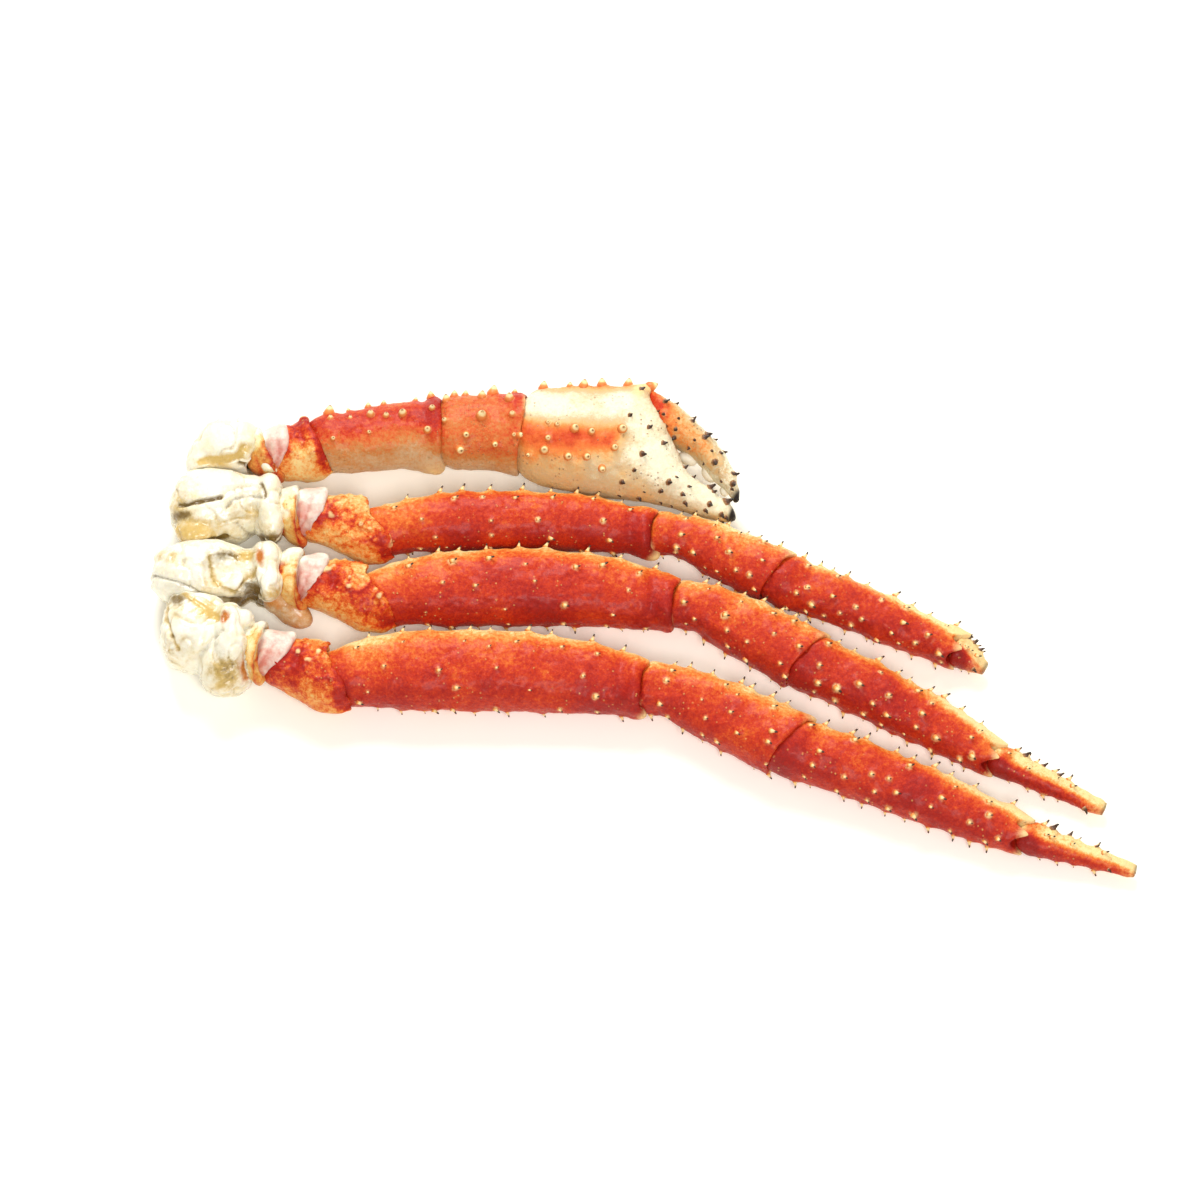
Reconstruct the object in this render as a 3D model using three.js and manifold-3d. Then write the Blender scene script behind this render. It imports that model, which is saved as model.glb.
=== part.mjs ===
// A cooked king crab cluster: three walking legs and the claw limb, held together by the white shoulder.
// Millimetres, +Z up. The cluster lies on its side on Z = 0, its limbs run along +X and the claw is at +Y.
// Each limb is a chain of shell pieces. The outer end of a piece is a rimmed socket, and the rounded
// head of the next piece sits in it. The origin is under the middle of the whole cluster.
import * as THREE from 'three';
import { mergeVertices } from 'three/addons/utils/BufferGeometryUtils.js';
import Module from 'manifold-3d';

const wasm = await Module();
wasm.setup();

// ---------- Driving dimensions ----------

const CLEARANCE = 0.35; // gap between two neighbouring pieces
const RIM_WALL = 2; // wall round a socket's mouth
const AROUND = 14; // facets round a limb
const SQUARENESS = 2.3; // power of a limb's superellipse section: 2 is an ellipse
const HEAD_SHARE = 0.45; // a head's depth, as a share of its half-width
const HEAD_STEPS = 2; // rings from a head's pole to its neck
const NECK_HEIGHT = 0.86; // a neck's half-height, as a share of its half-width
const TURN_SHARE = 0.3; // share of a piece's length over which its sections turn to face a joint
const TIP_DOME = 0.4; // length of the blunt end of a claw finger

// Outline of each piece of a limb: [share of the length, share of the full half-size].
const OUTLINE = {
  basis: [[0.5, 1]],
  membrane: [[0.5, 1]],
  ischium: [[0.25, 0.86], [0.55, 0.98], [0.8, 1.06]],
  merus: [[0.06, 0.76], [0.15, 0.9], [0.3, 0.98], [0.47, 1], [0.62, 0.98], [0.77, 0.9], [0.9, 0.82]],
  carpus: [[0.08, 0.72], [0.25, 0.78], [0.5, 0.89], [0.75, 0.98], [0.9, 1.01]],
  propodus: [[0.07, 1.02], [0.25, 1], [0.5, 0.96], [0.75, 0.85], [0.92, 0.75]],
  dactyl: [[0.1, 1], [0.3, 0.86], [0.55, 0.72], [0.8, 0.6], [1, 0.5]],
  claw_merus: [[0.1, 0.9], [0.35, 0.97], [0.65, 1.01], [0.88, 1.08]],
  claw_carpus: [[0.15, 0.98], [0.5, 1], [0.82, 1.08]],
};

// Each limb: its pieces from the shoulder out, the joint at the inner end of each piece as
// [x, y, z, turn of the socket in degrees, half-width of the neck], and the tip in the same form.
// girth is the full half-width and half-height of a piece, and bow is how far its middle lies to +Y.
const LEG_PIECES = ['basis', 'membrane', 'ischium', 'merus', 'carpus', 'propodus', 'dactyl'];

const LEGS = {
  leg1: {
    joints: [
      [-160, 48, 19, -4, 12.5], [-154, 47.5, 18, -6, 11.5], [-145.5, 47, 17, -8, 11],
      [-118, 40.5, 14, 32, 12.4], [7, 40.8, 13, -6, 9.6], [61.5, 19, 12.5, -36, 11.6],
      [143, -15.5, 8.5, -26, 7.6],
    ],
    tip: [156, -24, 6, -34],
    girth: {
      basis: [13.6, 13], membrane: [12.4, 12], ischium: [13.6, 12.6], merus: [13.9, 13.6],
      carpus: [13, 11.5], propodus: [11.8, 10], dactyl: [7, 6],
    },
    bow: { merus: 6, carpus: 2, propodus: 1 },
  },
  leg2: {
    joints: [
      [-160, 17, 18, -8, 12.5], [-153, 15.5, 17.5, -10, 11.5], [-145.5, 14, 16.5, -12, 11],
      [-117, 7, 14, 34, 13.2], [16, 5.5, 13, -12, 10.6], [74.5, -22.5, 12.5, -41, 13.4],
      [158.5, -68.5, 8.5, -26, 6.8],
    ],
    tip: [207.5, -92, 5, -26],
    girth: {
      basis: [13.6, 12.6], membrane: [12.4, 12], ischium: [14.4, 13], merus: [18.4, 14.5],
      carpus: [15.2, 12.6], propodus: [13.4, 11], dactyl: [6.9, 6],
    },
    bow: { merus: 7.4, carpus: 2.5, propodus: 1.5 },
  },
  leg3: {
    joints: [
      [-175, -18.5, 18, -16, 12], [-169.5, -20, 17.5, -18, 11.5], [-160.5, -24, 16.5, -20, 11],
      [-135.5, -32.5, 13.5, 28, 13.2], [2, -36, 13, -7, 11.6], [66.5, -64, 12.5, -42, 14.2],
      [170, -106, 8.5, -22, 7],
    ],
    tip: [220.5, -122, 5, -18],
    girth: {
      basis: [13, 12.6], membrane: [12.4, 12], ischium: [14.6, 13.2], merus: [19.2, 14.5],
      carpus: [16.4, 13], propodus: [13.8, 11.3], dactyl: [7.1, 6.1],
    },
    bow: { merus: 6.8, carpus: 2.5, propodus: 1.5 },
  },
};

const CLAW_LIMB_PIECES = ['basis', 'membrane', 'ischium', 'claw_merus', 'claw_carpus'];

const CLAW_LIMB = {
  joints: [
    [-175, 76.5, 18, 14, 10.5], [-169, 78, 17.5, 13, 10], [-162, 80, 17, 12, 9.6],
    [-145.5, 82.5, 15.5, 30, 12.2], [-89.5, 90, 15.5, -4, 14.6], [-52.5, 89, 16, -8, 17.4],
  ],
  girth: {
    basis: [11.4, 12], membrane: [10.8, 11.4], ischium: [13, 12.6], claw_merus: [15.2, 13.4],
    claw_carpus: [17.4, 14.6],
  },
  bow: { claw_merus: 1, claw_carpus: 0.5 },
};

// Sections of the palm with its fixed finger, and of the moving finger, from the wrist out:
// [x, y, z, turn in degrees, half-width, half-height].
const PALM_SECTIONS = [
  [-49.5, 88.5, 16.5, -5, 21.6, 15.4], [-38.5, 86.5, 16.5, -4, 24.4, 16.4],
  [-22, 85, 16.5, -2, 26.8, 17], [-8, 84.5, 16.5, -1, 28, 16.9], [4, 83, 16.5, 1, 29, 16],
  [10.5, 77.5, 15.5, 2, 24, 14.5], [16, 69.8, 14.5, 4, 17.2, 13], [22, 61, 13.5, 8, 9.8, 11],
  [29.5, 57, 12.5, 6, 7.6, 8], [37.5, 52.6, 12, 8, 5.6, 6], [43, 50.6, 12, 8, 2.6, 3],
];
const FINGER_SECTIONS = [
  [10.5, 96.5, 18, 22, 14.6, 11], [24.5, 86.5, 18, 13, 11.8, 10], [33.5, 75.8, 17.5, -3, 9, 8.4],
  [40.6, 67, 16.5, -26, 6, 6.4], [43.8, 59.5, 15.2, -58, 3.2, 4.2], [44.6, 55.6, 14.4, -70, 1.6, 2],
];
const FINGER_HEAD_DEPTH = 8; // the moving finger's rounded head, which sits in the palm

// The white shoulder pieces, as rounded lumps: centre [x, y, z] and half-sizes [x, y, z].
const SHOULDER = {
  claw_coxa: [
    { centre: [-186, 81, 16.1], half: [15.6, 13.2, 17.4] },
    { centre: [-196, 76, 14], half: [10, 11, 13.6] },
  ],
  leg1_coxa: [
    { centre: [-192, 51.5, 16.4], half: [21, 17.6, 17.8] },
    { centre: [-167, 50, 18.5], half: [7.2, 16, 17] },
    { centre: [-176, 55, 16], half: [10, 11, 15] },
  ],
  leg2_coxa: [
    { centre: [-196, 17.5, 16.6], half: [24.6, 15.6, 18] },
    { centre: [-168, 17.5, 18.5], half: [8.2, 14.6, 16.4] },
    { centre: [-178, 19, 15], half: [10, 11, 14.4] },
  ],
  leg3_coxa: [
    { centre: [-199, -10.5, 16.4], half: [16.6, 18, 17.8] },
    { centre: [-183.5, -13, 20.5], half: [7.4, 13.2, 17.2] },
    { centre: [-185, -27, 15], half: [12.6, 12, 15.4] },
  ],
};
const LUMP_SQUARENESS = 2.7; // power of a lump's superellipse sections
const LUMP_AROUND = 14; // facets round a lump
const LUMP_STEPS = 8; // rings from a lump's foot to its crown
const SOCKET_HOLLOW = { centre: [-185, 11, 37.5], half: [11.5, 10.5, 8] }; // open joint in the middle coxa

const COLOURS = {
  shoulder: 0xf3ead2,
  membrane: 0xe6c6bb,
  shell: 0xd9472a,
  claw: 0xe2703c,
  palm: 0xefd9a8,
};

// ---------- Rings and lofts ----------

const UP = new THREE.Vector3(0, 0, 1);

// Direction in plan at an angle from +X.
function heading(turn) {
  const angle = THREE.MathUtils.degToRad(turn);
  return new THREE.Vector3(Math.cos(angle), Math.sin(angle), 0);
}

// A cross-section: its centre, the direction it faces, its half-width across and its half-height.
function ring(centre, facing, halfWidth, halfHeight) {
  const across = UP.clone().cross(facing).normalize();
  const up = facing.clone().cross(across).normalize();
  return { centre, across, up, halfWidth, halfHeight };
}

// Point of a unit superellipse at an angle.
function superellipse(angle, power) {
  const share = (value) => Math.sign(value) * Math.abs(value) ** (2 / power);
  return [share(Math.cos(angle)), share(Math.sin(angle))];
}

// Closed skin through a row of rings, the first and last of which are points.
function loft(rings, restsOnFloor) {
  const profile = rings.map((item, row) => new THREE.Vector2(item.halfWidth, row));
  const geometry = new THREE.LatheGeometry(profile, AROUND);
  const position = geometry.getAttribute('position');
  const point = new THREE.Vector3();
  for (let index = 0; index < position.count; index += 1) {
    const column = Math.floor(index / rings.length) % AROUND;
    const { centre, across, up, halfWidth, halfHeight } = rings[index % rings.length];
    const [side, rise] = superellipse((column / AROUND) * 2 * Math.PI, SQUARENESS);
    point.copy(centre).addScaledVector(across, side * halfWidth).addScaledVector(up, rise * halfHeight);
    if (restsOnFloor) point.z = Math.max(point.z, 0);
    position.setXYZ(index, point.x, point.y, point.z);
  }
  return geometry;
}

// ---------- Solids ----------

function toSolid(geometry) {
  geometry.deleteAttribute('normal');
  geometry.deleteAttribute('uv');
  const merged = mergeVertices(geometry, 1e-3);
  return new wasm.Manifold(new wasm.Mesh({
    numProp: 3,
    vertProperties: merged.getAttribute('position').array,
    triVerts: new Uint32Array(merged.index.array),
  }));
}

function toMesh(name, solid, colour, roughness) {
  const { vertProperties, triVerts } = solid.getMesh();
  const geometry = new THREE.BufferGeometry();
  geometry.setAttribute('position', new THREE.BufferAttribute(vertProperties, 3));
  geometry.setIndex(new THREE.BufferAttribute(triVerts, 1));
  const material = new THREE.MeshStandardMaterial({ color: colour, roughness, metalness: 0 });
  const mesh = new THREE.Mesh(geometry, material);
  mesh.name = name;
  return mesh;
}

// ---------- Limb pieces ----------

function makeJoint([x, y, z, turn, neck]) {
  return { centre: new THREE.Vector3(x, y, z), facing: heading(turn), neck };
}

// Rounded head of a joint, from its pole to its neck, larger all round by grow.
function headRings(joint, grow) {
  const halfWidth = joint.neck + grow;
  const halfHeight = joint.neck * NECK_HEIGHT + grow;
  const depth = joint.neck * HEAD_SHARE + grow;
  return Array.from({ length: HEAD_STEPS + 1 }, (unused, step) => {
    const angle = (step / HEAD_STEPS) * (Math.PI / 2);
    const centre = joint.centre.clone().addScaledVector(joint.facing, -depth * Math.cos(angle));
    const share = step === 0 ? 0 : Math.sin(angle);
    return ring(centre, joint.facing, halfWidth * share, halfHeight * share);
  });
}

// Sections along a piece between two joints, which turn to face each joint near its ends.
function bodyRings(from, to, outline, [halfWidth, halfHeight], bow, grow) {
  const middle = from.centre.clone().lerp(to.centre, 0.5);
  middle.y += 2 * bow;
  const axis = new THREE.QuadraticBezierCurve3(from.centre, middle, to.centre);
  return outline.map(([along, share]) => {
    const near = THREE.MathUtils.smoothstep(TURN_SHARE - along, 0, TURN_SHARE);
    const far = THREE.MathUtils.smoothstep(along - 1 + TURN_SHARE, 0, TURN_SHARE);
    const facing = axis.getTangent(along).multiplyScalar(1 - near - far)
      .addScaledVector(from.facing, near)
      .addScaledVector(to.facing, far)
      .normalize();
    return ring(axis.getPoint(along), facing, halfWidth * share + grow, halfHeight * share + grow);
  });
}

// The rim of a socket, larger all round by grow.
function rimRing(joint, grow) {
  const wall = CLEARANCE + RIM_WALL + grow;
  return ring(joint.centre, joint.facing, joint.neck + wall, joint.neck * NECK_HEIGHT + wall);
}

// A flat end at a tip.
function bluntEnd(last) {
  return { ...last, halfWidth: 0, halfHeight: 0 };
}

// Head and body of one piece of a limb, and the joint at its outer end.
function pieceRings(limb, pieces, index, grow) {
  const piece = pieces[index];
  const from = makeJoint(limb.joints[index]);
  const to = makeJoint(limb.joints[index + 1] ?? limb.tip);
  const bow = limb.bow[piece] ?? 0;
  const body = bodyRings(from, to, OUTLINE[piece], limb.girth[piece], bow, grow);
  return { rings: [...headRings(from, grow), ...body], to };
}

// A piece that ends in a socket for the next head or, at the tip, in a flat end.
function pieceSolid(limb, pieces, index) {
  const { rings, to } = pieceRings(limb, pieces, index, 0);
  const hasSocket = index + 1 < limb.joints.length;
  const end = hasSocket ? [rimRing(to, 0), ...headRings(to, CLEARANCE).reverse()] : [bluntEnd(rings.at(-1))];
  return toSolid(loft([...rings, ...end], true));
}

// The room that a piece needs, larger than the piece all round by the clearance.
function pieceCutter(limb, pieces, index) {
  const { rings, to } = pieceRings(limb, pieces, index, CLEARANCE);
  const rim = rimRing(to, CLEARANCE);
  return toSolid(loft([...rings, rim, bluntEnd(rim)], false));
}

// ---------- Claw ----------

function sectionRings(sections, grow) {
  return sections.map(([x, y, z, turn, halfWidth, halfHeight]) => (
    ring(new THREE.Vector3(x, y, z), heading(turn), halfWidth + grow, halfHeight + grow)
  ));
}

// Point a little past the last section, which closes a finger.
function fingerEnd(last) {
  const centre = last.centre.clone().addScaledVector(last.across.clone().cross(last.up), TIP_DOME);
  return { ...last, centre, halfWidth: 0, halfHeight: 0 };
}

function palmSolid(fingerCutter) {
  const body = sectionRings(PALM_SECTIONS, 0);
  const rings = [...headRings(makeJoint(CLAW_LIMB.joints.at(-1)), 0), ...body, fingerEnd(body.at(-1))];
  return toSolid(loft(rings, true)).subtract(fingerCutter);
}

function fingerSolid(grow) {
  const body = sectionRings(FINGER_SECTIONS, grow);
  const base = body[0];
  const inward = base.across.clone().cross(base.up).negate();
  const head = Array.from({ length: HEAD_STEPS }, (unused, step) => {
    const angle = (step / HEAD_STEPS) * (Math.PI / 2);
    const centre = base.centre.clone().addScaledVector(inward, (FINGER_HEAD_DEPTH + grow) * Math.cos(angle));
    const share = step === 0 ? 0 : Math.sin(angle);
    return { ...base, centre, halfWidth: base.halfWidth * share, halfHeight: base.halfHeight * share };
  });
  return toSolid(loft([...head, ...body, fingerEnd(body.at(-1))], grow === 0));
}

// ---------- Shoulder ----------

// One rounded lump, larger all round by grow.
function lump({ centre, half }, grow, restsOnFloor) {
  const geometry = new THREE.SphereGeometry(1, LUMP_AROUND, LUMP_STEPS);
  const position = geometry.getAttribute('position');
  for (let index = 0; index < position.count; index += 1) {
    const row = Math.floor(index / (LUMP_AROUND + 1));
    const column = (index % (LUMP_AROUND + 1)) % LUMP_AROUND;
    const latitude = (0.5 - row / LUMP_STEPS) * Math.PI;
    const [radius, height] = row % LUMP_STEPS ? superellipse(latitude, LUMP_SQUARENESS) : [0, Math.sign(latitude)];
    const [side, rise] = superellipse((column / LUMP_AROUND) * 2 * Math.PI, LUMP_SQUARENESS);
    const z = centre[2] + height * (half[2] + grow);
    position.setXYZ(
      index,
      centre[0] + side * radius * (half[0] + grow),
      centre[1] + rise * radius * (half[1] + grow),
      restsOnFloor ? Math.max(z, 0) : z,
    );
  }
  return toSolid(geometry);
}

function coxaSolid(name, grow) {
  return SHOULDER[name]
    .map((item) => lump(item, grow, grow === 0))
    .reduce((joined, item) => joined.add(item));
}

// ---------- The cluster ----------

const solids = [];

function keep(name, solid, colour, roughness = 0.35) {
  solids.push({ name, solid, colour, roughness });
}

function addLimb(prefix, limb, pieces) {
  pieces.forEach((piece, index) => {
    const name = `${prefix}_${piece.replace('claw_', '')}`;
    const colour = piece === 'membrane' ? COLOURS.membrane : COLOURS[prefix === 'claw' ? 'claw' : 'shell'];
    keep(name, pieceSolid(limb, pieces, index), colour);
  });
}

for (const [name, leg] of Object.entries(LEGS)) addLimb(name, leg, LEG_PIECES);
addLimb('claw', CLAW_LIMB, CLAW_LIMB_PIECES);
keep('claw_palm', palmSolid(fingerSolid(CLEARANCE)), COLOURS.palm);
keep('claw_finger', fingerSolid(0), COLOURS.claw);

// Each coxa gives way to its neighbour and to the inner pieces of the limbs beside it.
const NEIGHBOURS = {
  claw_coxa: ['leg1_coxa'],
  leg1_coxa: ['leg2_coxa'],
  leg2_coxa: [],
  leg3_coxa: ['leg2_coxa'],
};
const ALL_LIMBS = [
  ...Object.values(LEGS).map((leg) => [leg, LEG_PIECES]),
  [CLAW_LIMB, CLAW_LIMB_PIECES],
];
const INNER_PIECES = 3; // pieces of a limb that reach the shoulder

function shoulderPiece(name) {
  let solid = coxaSolid(name, 0);
  for (const neighbour of NEIGHBOURS[name]) solid = solid.subtract(coxaSolid(neighbour, CLEARANCE));
  for (const [limb, pieces] of ALL_LIMBS) {
    for (let index = 0; index < INNER_PIECES; index += 1) {
      solid = solid.subtract(pieceCutter(limb, pieces, index));
    }
  }
  return solid;
}

for (const name of Object.keys(SHOULDER)) {
  const hollow = lump(SOCKET_HOLLOW, 0, false);
  const solid = shoulderPiece(name);
  keep(name, name === 'leg2_coxa' ? solid.subtract(hollow) : solid, COLOURS.shoulder, 0.3);
}

const cluster = new THREE.Group();
cluster.name = 'king_crab_cluster';
for (const { name, solid, colour, roughness } of solids) cluster.add(toMesh(name, solid, colour, roughness));

// Move the origin under the middle of the cluster.
const bounds = new THREE.Box3().setFromObject(cluster);
const middle = bounds.getCenter(new THREE.Vector3());
for (const mesh of cluster.children) mesh.geometry.translate(-middle.x, -middle.y, -bounds.min.z);

export default cluster;
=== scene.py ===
"""Finished look of a cooked king crab cluster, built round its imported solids.

Every shell piece starts as a smoothed, finely meshed copy of its own solid. Its surface is then
sculpted by vertex moves: low swellings, lips and hollows at the joints, and a mound under each spine.
The spines, thorns, warts and teeth are small pieces of their own. Colours follow vertex attributes
and Object coordinates. A size is in metres unless its docstring gives millimetres.
"""

import logging
import math
from dataclasses import dataclass, field
from enum import Enum
from functools import cache

import bmesh
import bpy
import numpy as np
from mathutils import Matrix, Vector


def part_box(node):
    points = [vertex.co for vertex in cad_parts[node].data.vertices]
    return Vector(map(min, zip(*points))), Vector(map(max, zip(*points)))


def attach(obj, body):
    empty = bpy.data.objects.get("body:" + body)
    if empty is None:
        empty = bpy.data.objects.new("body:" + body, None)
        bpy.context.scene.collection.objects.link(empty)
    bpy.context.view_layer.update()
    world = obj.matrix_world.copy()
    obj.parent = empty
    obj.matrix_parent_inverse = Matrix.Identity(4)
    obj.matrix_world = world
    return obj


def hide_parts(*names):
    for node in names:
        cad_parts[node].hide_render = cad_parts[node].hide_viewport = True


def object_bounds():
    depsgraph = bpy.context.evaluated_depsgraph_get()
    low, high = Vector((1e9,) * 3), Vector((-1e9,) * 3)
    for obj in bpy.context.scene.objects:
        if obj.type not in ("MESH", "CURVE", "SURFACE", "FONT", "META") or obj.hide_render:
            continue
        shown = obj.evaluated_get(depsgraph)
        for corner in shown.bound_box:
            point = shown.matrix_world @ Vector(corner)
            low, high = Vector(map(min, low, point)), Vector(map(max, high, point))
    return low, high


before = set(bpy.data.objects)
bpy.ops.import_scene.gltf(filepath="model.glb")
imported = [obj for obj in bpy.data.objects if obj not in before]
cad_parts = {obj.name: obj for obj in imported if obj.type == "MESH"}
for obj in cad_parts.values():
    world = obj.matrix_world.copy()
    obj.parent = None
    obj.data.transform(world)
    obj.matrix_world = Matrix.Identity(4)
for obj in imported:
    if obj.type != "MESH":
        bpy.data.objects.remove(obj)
CAD_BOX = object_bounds()

LOG = logging.getLogger("king_crab")
MM = 0.001
BODY = "root"

Colour = tuple[float, float, float]
Stops = tuple[tuple[float, Colour], ...]
Profile = tuple[tuple[float, float], ...]
Value = bpy.types.NodeSocket | float | Colour


# ---------------------------------------------------------------- fields of numbers over a surface

HASH_FACTORS = (73856093, 19349663, 83492791)
HASH_SEED_FACTOR = 40503
HASH_START = 17
HASH_STIR = 1274126177
HASH_MASK = 0xFFFF
USUAL_PEAK = 1.4
OCTAVE_SEED = 31


def lattice_noise(points: np.ndarray, size: float, seed: int) -> np.ndarray:
    """Smooth random field.

    Args:
        points: Positions in metres, one row each.
        size: Width of one bump in metres.
        seed: Choice of field.

    Returns:
        One value in -1 to 1 for each point.
    """
    grid = points / size
    cell = np.floor(grid).astype(np.int64)
    inside = grid - cell
    ease = inside * inside * (3 - 2 * inside)
    total = np.zeros(len(points))
    for corner in np.ndindex(2, 2, 2):
        parts = (cell + np.array(corner)) * np.array(HASH_FACTORS)
        code = parts[:, 0] ^ parts[:, 1] ^ parts[:, 2] ^ (seed * HASH_SEED_FACTOR + HASH_START)
        code = (code ^ (code >> 13)) * HASH_STIR
        value = ((code ^ (code >> 16)) & HASH_MASK) / (HASH_MASK / 2) - 1
        total += value * np.prod(np.where(corner, ease, 1 - ease), axis=1)
    return total


def fractal_noise(points: np.ndarray, size: float, seed: int, octaves: int = 3) -> np.ndarray:
    """Sum of finer and weaker random fields.

    Args:
        points: Positions in metres, one row each.
        size: Width of the widest bumps in metres.
        seed: Choice of field.
        octaves: Number of fields, each half the width and strength of the one before.

    Returns:
        One value, mostly in -1 to 1, for each point.
    """
    fields = (lattice_noise(points, size / 2**k, seed + OCTAVE_SEED * k) / 2**k for k in range(octaves))
    return sum(fields) / USUAL_PEAK


def bell(distance: np.ndarray, width: float) -> np.ndarray:
    """Bell curve that is 1 at no distance and small past width."""
    return np.exp(-((distance / width) ** 2))


def ramp(value: np.ndarray, low: float, high: float) -> np.ndarray:
    """Smooth step from 0 at low to 1 at high. It falls if high is less than low."""
    share = np.clip((value - low) / (high - low), 0, 1)
    return share * share * (3 - 2 * share)


def follow(value: np.ndarray, profile: Profile) -> np.ndarray:
    """Value of a profile of (position, value) points at each position."""
    positions, values = zip(*profile)
    return np.interp(value, positions, values)


def turn_from(middle: float, angle: np.ndarray) -> np.ndarray:
    """Turn in degrees from a middle angle to each angle, from -180 to 180."""
    return (angle - middle + 180) % 360 - 180


# ---------------------------------------------------------------- surfaces

WELD_GAP = 0.01
FLAT_LIMIT = math.radians(30)
SHAPE_LIMIT = math.radians(60)
RIM_ANGLE = math.radians(48)
RIM_SHARPNESS = 0.85
ROUNDING_LEVELS = 2


class Surface:
    """A mesh's vertices as arrays, for sculpting.

    Attributes:
        mesh: The mesh itself.
        points: Vertex positions in metres.
        normals: Vertex normals.
    """

    def __init__(self, mesh: bpy.types.Mesh) -> None:
        """Reads the vertices of a mesh."""
        self.mesh = mesh
        self.points = np.empty((len(mesh.vertices), 3))
        self.normals = np.empty((len(mesh.vertices), 3))
        self.read()

    def read(self) -> None:
        """Reads positions and normals from the mesh."""
        self.mesh.vertices.foreach_get("co", self.points.ravel())
        self.mesh.vertex_normals.foreach_get("vector", self.normals.ravel())

    def raise_by(self, height: np.ndarray) -> None:
        """Moves each vertex along its normal and never below the floor.

        Args:
            height: Distance in metres for each vertex.
        """
        self.points += self.normals * height[:, None]
        self.points[:, 2] = np.maximum(self.points[:, 2], 0.0)
        self.mesh.vertices.foreach_set("co", self.points.ravel())
        self.mesh.update()
        self.read()

    def write(self, name: str, values: np.ndarray) -> None:
        """Stores one number for each vertex as a mesh attribute.

        Args:
            name: Attribute that a finish reads.
            values: One number for each vertex.
        """
        layer = self.mesh.attributes.get(name) or self.mesh.attributes.new(name, "FLOAT", "POINT")
        layer.data.foreach_set("value", np.ascontiguousarray(values, dtype=np.float32))


def link(name: str, mesh: bpy.types.Mesh) -> bpy.types.Object:
    """Puts a mesh in the scene as an object at the origin.

    Args:
        name: Name of the object.
        mesh: Its mesh.

    Returns:
        The object.
    """
    piece = bpy.data.objects.new(name, mesh)
    bpy.context.scene.collection.objects.link(piece)
    return piece


@dataclass(frozen=True)
class Lump:
    """A rounded swelling that is merged into a piece.

    Attributes:
        place: Middle in the cluster's frame in millimetres.
        size: Half length, width and height in millimetres.
        turn: Turn about the vertical in degrees.
    """

    place: tuple[float, float, float]
    size: tuple[float, float, float]
    turn: float = 0.0

    def add_to(self, work: bmesh.types.BMesh) -> None:
        """Adds the lump's shape to a mesh that is being built.

        Args:
            work: The mesh.
        """
        turn = Matrix.Rotation(math.radians(self.turn), 4, "Z")
        size = Matrix.Diagonal((*(side * MM for side in self.size), 1))
        matrix = Matrix.Translation(Vector(self.place) * MM) @ turn @ size
        bmesh.ops.create_icosphere(work, subdivisions=3, radius=1, matrix=matrix)


def rough_form(nodes: tuple[str, ...], lumps: tuple[Lump, ...]) -> bpy.types.Mesh:
    """Copies of CAD solids and lumps in one mesh, with creases kept along the solids' rims.

    Args:
        nodes: Names of the CAD nodes.
        lumps: Swellings added to the solids.

    Returns:
        The mesh, which may hold shells that run through each other.
    """
    mesh = bpy.data.meshes.new("skin")
    work = bmesh.new()
    for node in nodes:
        work.from_mesh(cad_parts[node].data)
    bmesh.ops.remove_doubles(work, verts=work.verts, dist=WELD_GAP * MM)
    bmesh.ops.join_triangles(
        work, faces=work.faces, angle_face_threshold=FLAT_LIMIT, angle_shape_threshold=SHAPE_LIMIT
    )
    crease = work.edges.layers.float.new("crease_edge")
    for edge in work.edges:
        if edge.is_manifold and edge.calc_face_angle(0) > RIM_ANGLE:
            edge[crease] = RIM_SHARPNESS
    for lump in lumps:
        lump.add_to(work)
    work.to_mesh(mesh)
    work.free()
    return mesh


def skin_of(
    nodes: tuple[str, ...], voxel: float, smoothing: int, lumps: tuple[Lump, ...] = ()
) -> bpy.types.Mesh:
    """Fine, even and smooth skin over CAD solids and lumps.

    Args:
        nodes: Names of the CAD nodes.
        voxel: Edge length of the new faces in millimetres.
        smoothing: Number of smoothing passes after the skin is made.
        lumps: Swellings merged with the solids.

    Returns:
        A closed mesh of quads.
    """
    blank = link("blank", rough_form(nodes, lumps))
    rounding = blank.modifiers.new("rounding", "SUBSURF")
    rounding.levels = rounding.render_levels = ROUNDING_LEVELS
    remesh = blank.modifiers.new("remesh", "REMESH")
    remesh.mode = "VOXEL"
    remesh.voxel_size = voxel * MM
    soften = blank.modifiers.new("soften", "SMOOTH")
    soften.factor = 0.5
    soften.iterations = smoothing
    depsgraph = bpy.context.evaluated_depsgraph_get()
    skin = bpy.data.meshes.new_from_object(blank.evaluated_get(depsgraph))
    bpy.data.objects.remove(blank)
    skin.shade_smooth()
    return skin


# ---------------------------------------------------------------- materials


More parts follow.
